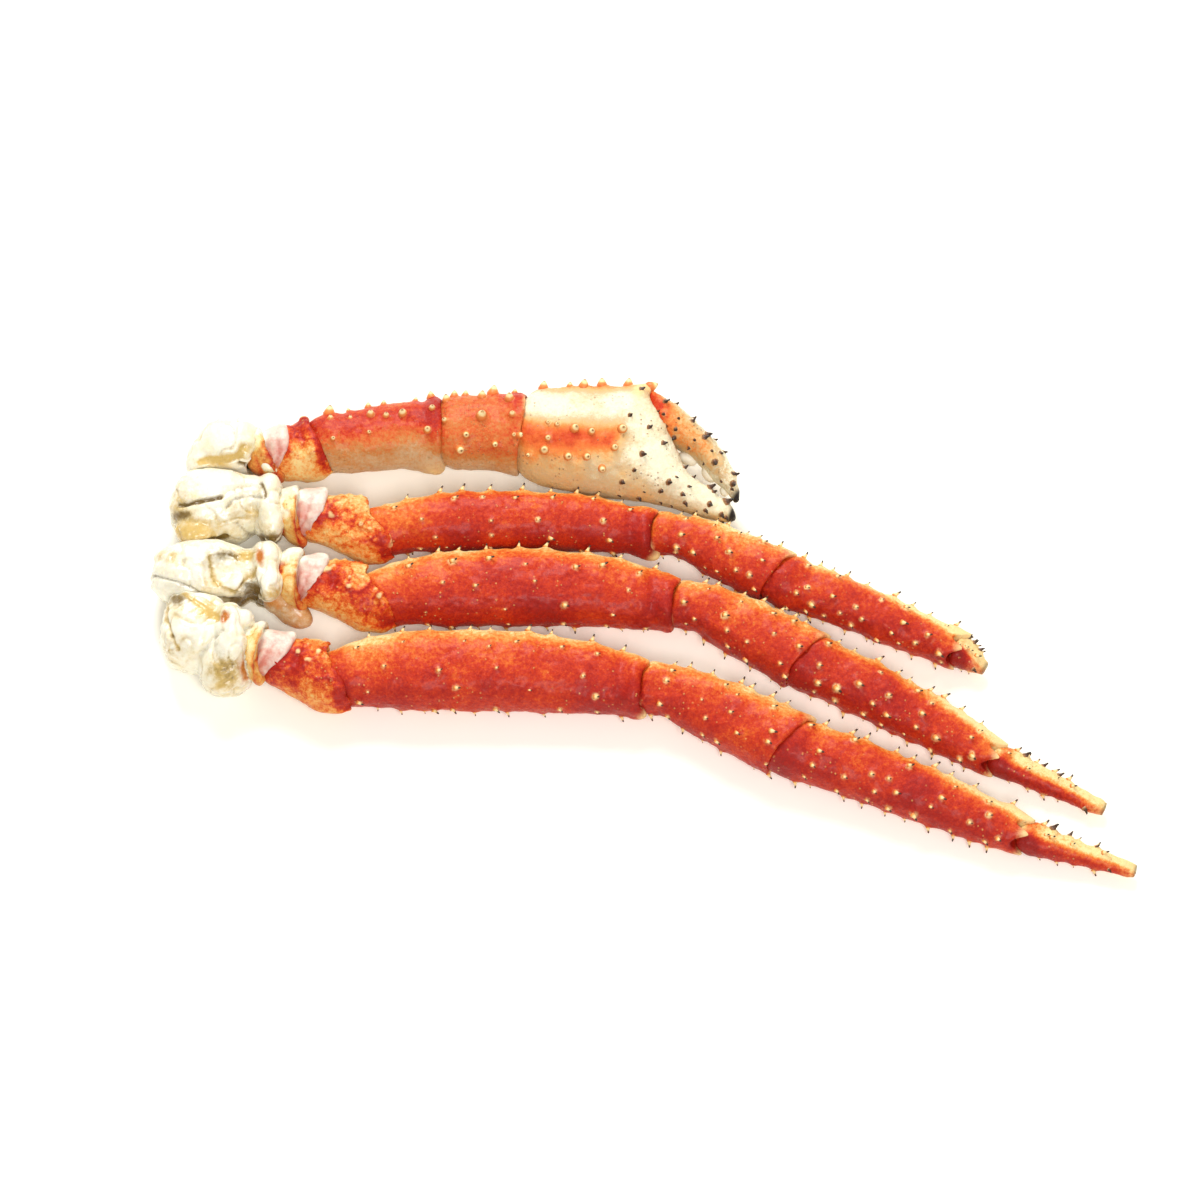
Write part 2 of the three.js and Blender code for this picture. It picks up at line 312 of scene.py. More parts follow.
class Graph:
    """The nodes of one material, added and linked one at a time."""

    def __init__(self, name: str) -> None:
        """Starts a material that holds only its shader and output.

        Args:
            name: Name of the material.
        """
        self.material = bpy.data.materials.new(name)
        self.material.use_nodes = True
        self.tree = self.material.node_tree
        self.shader = self.tree.nodes["Principled BSDF"]
        self.place = self.add("ShaderNodeTexCoord").outputs["Object"]

    def add(self, kind: str) -> bpy.types.Node:
        """Adds a node of one kind."""
        return self.tree.nodes.new(kind)

    def feed(self, socket: bpy.types.NodeSocket, value: Value) -> None:
        """Gives an input socket its value.

        Args:
            socket: The input.
            value: A number, a colour or another node's output.
        """
        if isinstance(value, bpy.types.NodeSocket):
            self.tree.links.new(value, socket)
        elif isinstance(value, tuple) and socket.type == "RGBA":
            socket.default_value = (*value, 1)
        else:
            socket.default_value = value

    def shade(self, inputs: dict[str, Value]) -> bpy.types.Material:
        """Sets inputs of the shader.

        Args:
            inputs: Value of each input, by its name.

        Returns:
            The material.
        """
        for name, value in inputs.items():
            self.feed(self.shader.inputs[name], value)
        return self.material

    def attribute(self, name: str) -> bpy.types.NodeSocket:
        """Value of a vertex attribute.

        Args:
            name: Name of the attribute.

        Returns:
            The output socket.
        """
        node = self.add("ShaderNodeAttribute")
        node.attribute_name = name
        return node.outputs["Fac"]

    def math(
        self, operation: str, first: Value, second: Value, clamp: bool = False
    ) -> bpy.types.NodeSocket:
        """Result of an operation on two values.

        Args:
            operation: Name of the operation.
            first: Number or socket.
            second: Number or socket.
            clamp: Whether the result is kept in 0 to 1.

        Returns:
            The output socket.
        """
        node = self.add("ShaderNodeMath")
        node.operation = operation
        node.use_clamp = clamp
        self.feed(node.inputs[0], first)
        self.feed(node.inputs[1], second)
        return node.outputs[0]

    def plus(self, first: Value, second: Value, clamp: bool = False) -> bpy.types.NodeSocket:
        """Sum of two values, kept in 0 to 1 if clamp is set."""
        return self.math("ADD", first, second, clamp)

    def times(self, first: Value, second: Value) -> bpy.types.NodeSocket:
        """Product of two values."""
        return self.math("MULTIPLY", first, second)

    def noise(self, width: float, detail: float = 4.0, rough: float = 0.55) -> bpy.types.NodeSocket:
        """Noise in 0 to 1.

        Args:
            width: Width of its features in metres.
            detail: Number of finer fields in it.
            rough: Strength of each finer field as a share of the one before.

        Returns:
            The output socket.
        """
        node = self.add("ShaderNodeTexNoise")
        self.feed(node.inputs["Vector"], self.place)
        self.feed(node.inputs["Scale"], 1 / width)
        self.feed(node.inputs["Detail"], detail)
        self.feed(node.inputs["Roughness"], rough)
        return node.outputs["Fac"]

    def wander(self, width: float, detail: float = 4.0, rough: float = 0.55) -> bpy.types.NodeSocket:
        """Noise in -0.5 to 0.5, with the same arguments."""
        return self.math("SUBTRACT", self.noise(width, detail, rough), 0.5)

    def dots(self, spacing: float, radius: float, share: float) -> bpy.types.NodeSocket:
        """Round dots scattered over the surface.

        Args:
            spacing: Mean distance between cells in metres.
            radius: Radius of a dot as a share of the spacing.
            share: Share of the cells that hold a dot.

        Returns:
            A socket that is 1 at the middle of a dot and 0 away from it.
        """
        node = self.add("ShaderNodeTexVoronoi")
        self.feed(node.inputs["Vector"], self.place)
        self.feed(node.inputs["Scale"], 1 / spacing)
        chosen = self.add("ShaderNodeSeparateColor")
        self.feed(chosen.inputs[0], node.outputs["Color"])
        near = self.step(node.outputs["Distance"], radius, radius * 0.35)
        kept = self.math("LESS_THAN", chosen.outputs[0], share)
        return self.times(near, kept)

    def step(self, value: Value, low: float, high: float) -> bpy.types.NodeSocket:
        """Smooth step.

        Args:
            value: Number or socket.
            low: Value at which the step is 0.
            high: Value at which it is 1.

        Returns:
            The output socket.
        """
        node = self.add("ShaderNodeMapRange")
        node.interpolation_type = "SMOOTHSTEP"
        self.feed(node.inputs["Value"], value)
        self.feed(node.inputs["From Min"], low)
        self.feed(node.inputs["From Max"], high)
        return node.outputs["Result"]

    def mix(self, factor: Value, first: Value, second: Value) -> bpy.types.NodeSocket:
        """Colour between two colours.

        Args:
            factor: Share of the second colour.
            first: First colour.
            second: Second colour.

        Returns:
            The output socket.
        """
        node = self.add("ShaderNodeMix")
        node.data_type = "RGBA"
        self.feed(node.inputs["Factor"], factor)
        self.feed(node.inputs[6], first)
        self.feed(node.inputs[7], second)
        return node.outputs[2]

    def colours(self, value: Value, stops: Stops) -> bpy.types.NodeSocket:
        """Colour ramp.

        Args:
            value: Position on the ramp, in 0 to 1.
            stops: Position and colour of each stop.

        Returns:
            The output socket.
        """
        node = self.add("ShaderNodeValToRGB")
        elements = node.color_ramp.elements
        while len(elements) < len(stops):
            elements.new(0.5)
        for element, (position, colour) in zip(elements, stops):
            element.position = position
            element.color = (*colour, 1)
        self.feed(node.inputs["Fac"], value)
        return node.outputs["Color"]

    def bump(
        self, height: Value, depth: float, base: bpy.types.NodeSocket | None = None
    ) -> bpy.types.NodeSocket:
        """Relief that the light shows but the mesh doesn't have.

        Args:
            height: Height in 0 to 1.
            depth: Height in metres where it is 1.
            base: Another relief that this one is added to.

        Returns:
            The output socket.
        """
        node = self.add("ShaderNodeBump")
        self.feed(node.inputs["Strength"], 1.0)
        self.feed(node.inputs["Distance"], depth)
        self.feed(node.inputs["Height"], height)
        if base is not None:
            self.feed(node.inputs["Normal"], base)
        return node.outputs["Normal"]


@dataclass(frozen=True)
class ShellFinish:
    """Cooked shell, from deep red through orange to cream.

    Attributes:
        name: Name of the material.
        stops: Colours from tone 0 to tone 1.
        pale: Colour round spines, on condyles and on knob tops, where it is partly painted highlight.
        dark: Colour of black tips, and of the painted shade in joint creases and among the knobs.
        speckle: Colour of the small granules.
        speckle_share: Share of the cells that hold a granule.
        mottle: How far the tone wanders.
        grain: How far its fine part wanders, as a multiple of the mottle.
        granule: Distance between the granules in metres.
        roughness: Mean roughness.
        roughness_range: How far the roughness varies.
        coat: Strength of the wet coat.
    """

    name: str
    stops: Stops
    pale: Colour = (0.84, 0.60, 0.27)
    dark: Colour = (0.018, 0.011, 0.008)
    speckle: Colour = (0.78, 0.34, 0.11)
    speckle_share: float = 0.34
    mottle: float = 0.30
    grain: float = 3.4
    granule: float = 2.1 * MM
    roughness: float = 0.42
    roughness_range: float = 0.56
    coat: float = 0.08

    def material(self) -> bpy.types.Material:
        """Builds the material."""
        graph = Graph(self.name)
        broad = graph.wander(13 * MM, detail=3)
        fine = graph.wander(1.9 * MM, detail=5, rough=0.8)
        wander = graph.plus(graph.times(broad, self.mottle), graph.times(fine, self.grain * self.mottle))
        tone = graph.plus(graph.attribute("tone"), wander, clamp=True)
        colour = graph.colours(tone, self.stops)
        crowd = graph.step(graph.noise(11 * MM, detail=2), 0.42, 0.62)
        granules = graph.times(graph.dots(self.granule, 0.32, self.speckle_share), crowd)
        colour = graph.mix(graph.times(granules, 0.75), colour, self.speckle)
        spot = graph.plus(graph.attribute("pale"), graph.times(fine, 0.5), clamp=True)
        # Paler spots: spine feet and condyles, and knob tops partly as painted highlight.
        colour = graph.mix(graph.step(spot, 0.12, 0.85), colour, self.pale)
        # Black tips, and painted shade in joint creases and among the knobs.
        colour = graph.mix(graph.step(graph.attribute("dark"), 0.15, 0.8), colour, self.dark)
        smudges = graph.times(graph.noise(4 * MM, detail=3), self.roughness_range)
        relief = graph.bump(graph.noise(3.0 * MM, detail=6, rough=0.7), 0.8 * MM)
        return graph.shade({
            "Base Color": colour,
            "Roughness": graph.plus(smudges, self.roughness - self.roughness_range / 2),
            "Normal": graph.bump(granules, 0.4 * MM, relief),
            "Specular IOR Level": 0.18,
            "Coat Weight": self.coat,
            "Coat Roughness": 0.2,
            "Subsurface Weight": 0.12,
            "Subsurface Radius": (1.0, 0.35, 0.2),
            "Subsurface Scale": 2 * MM,
        })


@dataclass(frozen=True)
class HornFinish:
    """Horny spine, thorn, wart or tooth, with its colours from foot to tip.

    Attributes:
        name: Name of the material.
        stops: Colours from foot to tip.
    """

    name: str
    stops: Stops

    def material(self) -> bpy.types.Material:
        """Builds the material."""
        graph = Graph(self.name)
        wander = graph.times(graph.wander(1.5 * MM, detail=3), 0.25)
        height = graph.plus(graph.attribute("tip"), wander, clamp=True)
        return graph.shade({
            "Base Color": graph.colours(height, self.stops),
            "Normal": graph.bump(graph.noise(0.6 * MM, detail=2), 0.06 * MM),
            "Roughness": 0.42,
            "Specular IOR Level": 0.3,
            "Coat Weight": 0.1,
            "Coat Roughness": 0.2,
        })


@dataclass(frozen=True)
class ShoulderFinish:
    """Wet cream-white shell with yellow and olive stains; the olive also serves as painted shade in its
    cracks, hollows and the gaps between the coxae.

    Attributes:
        name: Name of the material.
        clean: Colour of the clean shell.
        warm: Warmer colour that it drifts to.
        stain: Yellow-brown of the stains.
        olive: Dark olive brown of stains, also used as painted shade in cracks, hollows and gaps.
        rust: Orange brown of the deepest spots.
    """

    name: str = "shoulder_shell"
    clean: Colour = (0.84, 0.80, 0.66)
    warm: Colour = (0.78, 0.68, 0.40)
    stain: Colour = (0.60, 0.40, 0.10)
    olive: Colour = (0.19, 0.115, 0.024)
    rust: Colour = (0.50, 0.15, 0.016)

    def material(self) -> bpy.types.Material:
        """Builds the material."""
        graph = Graph(self.name)
        drift = graph.step(graph.noise(9 * MM), 0.42, 0.72)
        fine = graph.wander(2.0 * MM, detail=8, rough=0.75)
        colour = graph.mix(graph.times(drift, 0.55), self.clean, self.warm)
        stain = graph.plus(graph.attribute("stain"), graph.times(fine, 1.3))
        colour = graph.mix(graph.times(graph.step(stain, 0.0, 0.95), 0.95), colour, self.stain)
        rust = graph.plus(graph.attribute("rust"), graph.times(fine, 0.5))
        colour = graph.mix(graph.step(rust, 0.25, 0.9), colour, self.rust)
        # Olive brown: partly stain and partly painted shade in cracks, hollows and gaps.
        deep = graph.plus(graph.attribute("deep"), graph.times(fine, 1.1))
        colour = graph.mix(graph.step(deep, 0.08, 0.9), colour, self.olive)
        relief = graph.bump(graph.noise(3.2 * MM, detail=5, rough=0.6), 0.35 * MM)
        return graph.shade({
            "Base Color": colour,
            "Roughness": graph.plus(graph.times(graph.noise(4 * MM, detail=3), 0.3), 0.14),
            "Normal": graph.bump(graph.noise(0.9 * MM, detail=3), 0.08 * MM, relief),
            "Coat Weight": 0.35,
            "Coat Roughness": 0.12,
            "Subsurface Weight": 0.3,
            "Subsurface Radius": (1.0, 0.8, 0.5),
            "Subsurface Scale": 3 * MM,
        })


@dataclass(frozen=True)
class MembraneFinish:
    """Thin membrane, pink towards its apex, grey above and with a cream-white rim.

    Attributes:
        name: Name of the material.
        pink: Colour towards the apex.
        grey: Colour of the rest.
        rim: Colour of the rim.
    """

    name: str = "joint_membrane"
    pink: Colour = (0.58, 0.20, 0.15)
    grey: Colour = (0.72, 0.58, 0.48)
    rim: Colour = (0.85, 0.81, 0.68)

    def material(self) -> bpy.types.Material:
        """Builds the material."""
        graph = Graph(self.name)
        blotch = graph.times(graph.wander(4 * MM, detail=5, rough=0.65), 2.2)
        height = graph.plus(graph.attribute("tone"), blotch, clamp=True)
        colour = graph.mix(height, self.pink, self.grey)
        return graph.shade({
            "Base Color": graph.mix(graph.step(graph.attribute("pale"), 0.2, 0.8), colour, self.rim),
            "Normal": graph.bump(graph.noise(2.2 * MM, detail=5, rough=0.6), 0.5 * MM),
            "Roughness": 0.36,
            "Subsurface Weight": 0.35,
            "Subsurface Radius": (1.0, 0.5, 0.4),
            "Subsurface Scale": 3 * MM,
        })


Finish = ShellFinish | HornFinish | ShoulderFinish | MembraneFinish


@cache
def material_of(finish: Finish) -> bpy.types.Material:
    """The one material of a finish, made when it is first asked for."""
    return finish.material()


DEEP_RED: Colour = (0.27, 0.008, 0.005)
RED: Colour = (0.36, 0.010, 0.004)
ORANGE_RED: Colour = (0.53, 0.033, 0.005)
ORANGE: Colour = (0.68, 0.130, 0.014)
LIGHT_ORANGE: Colour = (0.78, 0.34, 0.08)
CREAM: Colour = (0.84, 0.64, 0.29)
TAN: Colour = (0.60, 0.40, 0.22)
HORN_BLACK: Colour = (0.014, 0.009, 0.006)
HORN_BROWN: Colour = (0.085, 0.035, 0.016)

LEG_SHELL = ShellFinish(
    "leg_shell",
    ((0.0, DEEP_RED), (0.2, RED), (0.42, ORANGE_RED), (0.62, ORANGE), (0.82, LIGHT_ORANGE), (1.0, CREAM)),
)
JOINT_SHELL = ShellFinish(
    "joint_shell",
    ((0.0, RED), (0.25, ORANGE_RED), (0.48, ORANGE), (0.7, LIGHT_ORANGE), (1.0, (0.80, 0.58, 0.24))),
    mottle=0.5,
)
WEDGE_SHELL = ShellFinish(
    "wedge_shell",
    (
        (0.0, RED), (0.25, (0.55, 0.10, 0.02)), (0.5, (0.70, 0.30, 0.06)), (0.75, (0.78, 0.52, 0.18)),
        (1.0, (0.84, 0.72, 0.42)),
    ),
    pale=(0.84, 0.79, 0.62),
)
CLAW_SHELL = ShellFinish(
    "claw_shell",
    ((0.0, RED), (0.22, ORANGE_RED), (0.45, (0.60, 0.13, 0.025)), (0.68, (0.56, 0.23, 0.065)), (1.0, TAN)),
    speckle=(0.62, 0.30, 0.12),
    speckle_share=0.6,
    mottle=0.34,
    granule=1.3 * MM,
)
PALM_STOPS: Stops = (
    (0.0, ORANGE_RED), (0.22, (0.70, 0.14, 0.025)), (0.42, (0.74, 0.24, 0.05)), (0.6, (0.70, 0.41, 0.16)),
    (0.78, (0.62, 0.44, 0.23)), (1.0, (0.84, 0.77, 0.55)),
)
PALM_SHELL = ShellFinish(
    "palm_shell", PALM_STOPS, speckle=(0.46, 0.25, 0.13), speckle_share=0.35, mottle=0.15, granule=1.6 * MM
)
FINGER_SHELL = ShellFinish(
    "finger_shell", PALM_STOPS, speckle=(0.42, 0.20, 0.09), speckle_share=0.4, mottle=0.35, granule=1.6 * MM
)
MEMBRANE = MembraneFinish()
SHOULDER = ShoulderFinish()
SPINE_HORN = HornFinish(
    "spine_horn",
    (
        (0.0, ORANGE), (0.2, LIGHT_ORANGE), (0.34, CREAM), (0.6, (0.80, 0.56, 0.26)), (0.75, HORN_BROWN),
        (1.0, HORN_BLACK),
    ),
)
THORN_HORN = HornFinish(
    "thorn_horn",
    ((0.0, (0.55, 0.34, 0.16)), (0.12, (0.30, 0.13, 0.05)), (0.3, HORN_BROWN), (1.0, HORN_BLACK)),
)
WART_HORN = HornFinish(
    "wart_horn",
    (
        (0.0, (0.66, 0.16, 0.035)), (0.4, (0.72, 0.25, 0.06)), (0.6, CREAM), (0.8, (0.84, 0.70, 0.38)),
        (0.92, (0.60, 0.36, 0.13)), (1.0, (0.16, 0.07, 0.03)),
    ),
)
TOOTH_HORN = HornFinish(
    "tooth_horn",
    ((0.0, (0.86, 0.81, 0.66)), (0.25, (0.78, 0.66, 0.44)), (1.0, CREAM)),
)


def finish_piece(
    name: str, mesh: bpy.types.Mesh, finish: Finish, replaced: tuple[str, ...] = ()
) -> None:
    """Adds a finished piece to the cluster.

    Args:
        name: Name of the piece.
        mesh: Its final mesh.
        finish: Its finish.
        replaced: CAD nodes that it stands for.
    """
    mesh.name = name
    mesh.materials.clear()
    mesh.materials.append(material_of(finish))
    piece = link(name, mesh)
    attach(piece, BODY)
    if replaced:
        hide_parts(*replaced)
    LOG.info("%s: %d vertices", name, len(mesh.vertices))


# ---------------------------------------------------------------- limbs


class LimbAxis:
    """Centre line of a limb piece, found from the piece's own points.

    Attributes:
        direction: Direction of the piece in plan, towards its outer end.
        length: Length of the piece in metres.
        along: Position of each point along the piece, from 0 at its head to 1 at its outer end.
        angle: Angle of each point round the piece in degrees: 0 towards the claw side, 90 up,
            180 towards the front and 270 down.
        radius: Distance of each point from the centre line in metres.
    """

    SLABS = 24
    NEAR = 1.2 * MM

    def __init__(self, points: np.ndarray, direction: np.ndarray | None = None) -> None:
        """Measures the piece.

        Args:
            points: Positions on its surface.
            direction: Its direction in plan, or None to take its longest one.
        """
        plan = points[:, :2] - points[:, :2].mean(axis=0)
        if direction is None:
            direction = np.linalg.eigh(plan.T @ plan)[1][:, 1]
            direction = direction * np.sign(direction[0])
        self.direction = direction / np.linalg.norm(direction)
        reach = plan @ self.direction
        self.length = float(np.ptp(reach))
        self.along = (reach - reach.min()) / self.length
        lateral = plan @ np.array([-self.direction[1], self.direction[0]])
        across = self.from_centre(lateral)
        rise = self.from_centre(points[:, 2])
        self.angle = np.degrees(np.arctan2(rise, across)) % 360
        self.radius = np.hypot(across, rise)

    def from_centre(self, values: np.ndarray) -> np.ndarray:
        """Distance from the middle of the piece, which is found slab by slab.

        Args:
            values: Coordinate of each point, across the piece or upwards.

        Returns:
            The coordinate less that of the centre line.
        """
        slab = np.minimum((self.along * self.SLABS).astype(int), self.SLABS - 1)
        slabs = [values[slab == k] for k in range(self.SLABS)]
        centres = [(inside.min() + inside.max()) / 2 for inside in slabs]
        middles = np.arange(self.SLABS) / self.SLABS + 0.5 / self.SLABS
        return values - np.interp(self.along, middles, centres)

    def vertex_at(self, along: float, angle: float) -> int:
        """Index of the outermost point near a place on the piece.

        Args:
            along: Share of the length.
            angle: Angle round the piece in degrees.

        Returns:
            The point's index.
        """
        turn = np.radians(turn_from(angle, self.angle))
        gap = np.hypot((self.along - along) * self.length, turn * self.radius)
        near = np.flatnonzero(gap < gap.min() + self.NEAR)
        return int(near[np.argmax(self.radius[near])])


@dataclass(frozen=True)
class SpineRow:
    """A row of spines along a limb piece.

    Attributes:
        angle: Angle round the piece in degrees.
        count: Number of spines.
        length: Mean length of a spine in millimetres.
        start: Share of the piece's length where the row starts.
        end: Share of the piece's length where it ends.
        lean: How far the spines lean towards the tip, from 0, upright, to 1.
        girth: Radius of a foot as a share of the length.
    """

    angle: float
    count: int
    length: float
    start: float = 0.08
    end: float = 0.95
    lean: float = 0.5
    girth: float = 0.42


def row_set(angles: tuple[float, ...], count: int, length: float, **options: float) -> tuple[SpineRow, ...]:
    """Rows of spines at several angles.

    Args:
        angles: Angle of each row in degrees.
        count: Spines in a row.
        length: Mean length of a spine in millimetres.
        options: Other fields of the rows.

    Returns:
        The rows.
    """
    return tuple(SpineRow(angle, count, length, **options) for angle in angles)


class Horn(Enum):
    """The kinds of small hard outgrowth."""

    SPINE = "spine"
    WART = "wart"


@dataclass(frozen=True)
class HornTemplate:
    """One spine or wart of unit size, standing on its foot, which is copied many times.

    Attributes:
        kind: Which of the two it is.
        sides: Number of a spine's sides.
        tip: Radius of a spine's tip as a share of its foot's.
        hollow: How far a spine's sides are drawn in.
        bend: How far a spine's tip is bent over.
        segments: Number of a wart's segments and rings.
        taper: How far a wart narrows towards its top.
    """

    kind: Horn
    sides: int = 7
    tip: float = 0.22
    hollow: float = 0.32
    bend: float = 0.35
    segments: int = 10
    taper: float = 0.42

    def spine(self, shape: bmesh.types.BMesh) -> None:
        """Adds a bent cone.

        Args:
            shape: Mesh that takes it.
        """
        bmesh.ops.create_cone(
            shape, cap_ends=True, segments=self.sides, radius1=1, radius2=self.tip, depth=1
        )
        edges = [e for e in shape.edges if abs(e.verts[0].co.z - e.verts[1].co.z) > 0.5]
        bmesh.ops.subdivide_edges(shape, edges=edges, cuts=3, use_grid_fill=True)
        bmesh.ops.translate(shape, verts=shape.verts, vec=(0, 0, 0.5))
        for vert in shape.verts:
            height = vert.co.z
            girth = 1 - self.hollow * math.sin(math.pi * height)
            vert.co.x *= girth
            vert.co.y *= girth
            vert.co.x += self.bend * height * height

    def wart(self, shape: bmesh.types.BMesh) -> None:
        """Adds a ball with a narrower top.

        Args:
            shape: Mesh that takes it.
        """
        bmesh.ops.create_uvsphere(shape, u_segments=self.segments, v_segments=self.segments, radius=1)
        for vert in shape.verts:
            girth = 1 - self.taper * max(0.0, vert.co.z) ** 0.8
            vert.co.x *= girth
            vert.co.y *= girth

    def mesh(self) -> bpy.types.Mesh:
        """Builds the mesh with its tip attribute, 0 at the foot and 1 at the tip.

        Returns:
            The mesh.
        """
        shape = bmesh.new()
        if self.kind is Horn.SPINE:
            self.spine(shape)
        else:
            self.wart(shape)
        tip = shape.verts.layers.float.new("tip")
        for vert in shape.verts:
            vert[tip] = max(0.0, vert.co.z)
        mesh = bpy.data.meshes.new(self.kind.value)
        shape.to_mesh(mesh)
        shape.free()
        return mesh


@dataclass
class HornField:
    """All the spines or warts of one limb, joined in one mesh.

    Attributes:
        kind: Kind of outgrowth.
        placements: Place, turn and size of each copy.
    """

    kind: Horn
    placements: list[Matrix] = field(default_factory=list)

    def plant(self, foot: Vector, direction: Vector, radius: float, length: float, spin: float) -> None:
        """Adds one.

        Args:
            foot: Place of its foot.
            direction: Direction that it points in.
            radius: Radius of its foot.
            length: Height from foot to tip.
            spin: Turn about its own axis in radians.
        """
        turn = direction.to_track_quat("Z", "Y").to_matrix().to_4x4()
        size = Matrix.Diagonal((radius, radius, length, 1))
        self.placements.append(Matrix.Translation(foot) @ turn @ Matrix.Rotation(spin, 4, "Z") @ size)

    def build(self, name: str, finish: Finish, slot: str) -> None:
        """Joins all copies in one piece.

        Args:
            name: Name of the piece.
            finish: Its finish.
            slot: Material slot of the record, which is not used.
        """
        template = HornTemplate(self.kind).mesh()
        crowd = bmesh.new()
        for placement in self.placements:
            first = len(crowd.verts)
            crowd.from_mesh(template)
            crowd.verts.ensure_lookup_table()
            bmesh.ops.transform(crowd, matrix=placement, verts=crowd.verts[first:])
        mesh = bpy.data.meshes.new(name)
        crowd.to_mesh(mesh)
        crowd.free()
        mesh.shade_smooth()
        finish_piece(name, mesh, finish)


class End(Enum):
    """The two ends of a limb piece."""

    HEAD = "head"
    OUTER = "outer"


ALL_ROUND = 360.0
RAGGED_ENDS = 0.3
RAGGED_SIDES = 0.25


@dataclass(frozen=True)
class Mark:
    """A local change to the surface of a limb piece.

    Attributes:
        end: End of the piece that it is measured from.
        at: Distance from that end in millimetres.
        length: Half length along the piece in millimetres.
        angle: Angle round the piece in degrees.
        spread: Half width round the piece in degrees.
        height: How far the surface is raised, in millimetres.
        reach: How far the surface is drawn towards the tip, in millimetres.
        tone: Tone that it adds; where it darkens a joint crease or gap it is painted shade.
        pale: Paleness that it adds.
        dark: Black that it adds, for black tips and for painted shade in joint creases.
    """

    end: End
    at: float
    length: float
    angle: float = 0.0
    spread: float = ALL_ROUND
    height: float = 0.0
    reach: float = 0.0
    tone: float = 0.0
    pale: float = 0.0
    dark: float = 0.0

    def weight(self, axis: LimbAxis, ragged: np.ndarray) -> np.ndarray:
        """Strength of the mark at each point.

        Args:
            axis: The piece's centre line.
            ragged: Random field that makes its edge uneven.

        Returns:
            One value in 0 to 1 for each point.
        """
        length = self.length * MM
        share = axis.along if self.end is End.HEAD else 1 - axis.along
        distance = share * axis.length
        strength = bell(distance - self.at * MM + RAGGED_ENDS * length * ragged, length)
        if self.spread < ALL_ROUND:
            turn = turn_from(self.angle, axis.angle)
            strength *= bell(turn + RAGGED_SIDES * self.spread * ragged, self.spread)
        return strength


# Tone against the angle round a walking leg piece: partly the shell's own colour, red on top and cream
# underneath, and partly painted light, cream along the back edge that faces the key lamp, deepest red on
# the front face and lightened low on the front where shade falls.
LEG_TONES: Profile = (
    (0, 0.95), (25, 0.9), (42, 0.71), (60, 0.5), (80, 0.4), (105, 0.35), (140, 0.26), (175, 0.26),
    (200, 0.38), (225, 0.55), (250, 0.7), (275, 0.80), (320, 0.95), (360, 0.95),
)
SKIN_SMOOTHING = 5
UNDERSIDE = 215
UNDERSIDE_SPREAD = 75
TONE_DRIFT = 0.16
TONE_RAGGEDNESS = 0.1
# Knob tops are made paler, partly the shell's own cream and partly painted highlight; the random crease
# lines among the knobs are painted shade.
KNOB_PALENESS = 0.8
CREASE_WIDTH = 0.10
CREASE_SHADE_DARKNESS = 0.32
CREASE_SHADE_TONE = -0.35
BLOTCH_TONE = -0.3
SPINE_JITTER = 0.35
SPINE_TURN = 8
SPINE_SIZES = (0.6, 1.25)
SPINE_SINK = 0.5
SPINE_CLEARANCE = 0.3
PALE_STRENGTHS = (0.3, 0.9)
PALE_REACH = 0.42
PALE_MARGIN = 0.6
MOUND_HEIGHT = 0.28
MOUND_WIDTH = 1.3
WEAR = 0.8


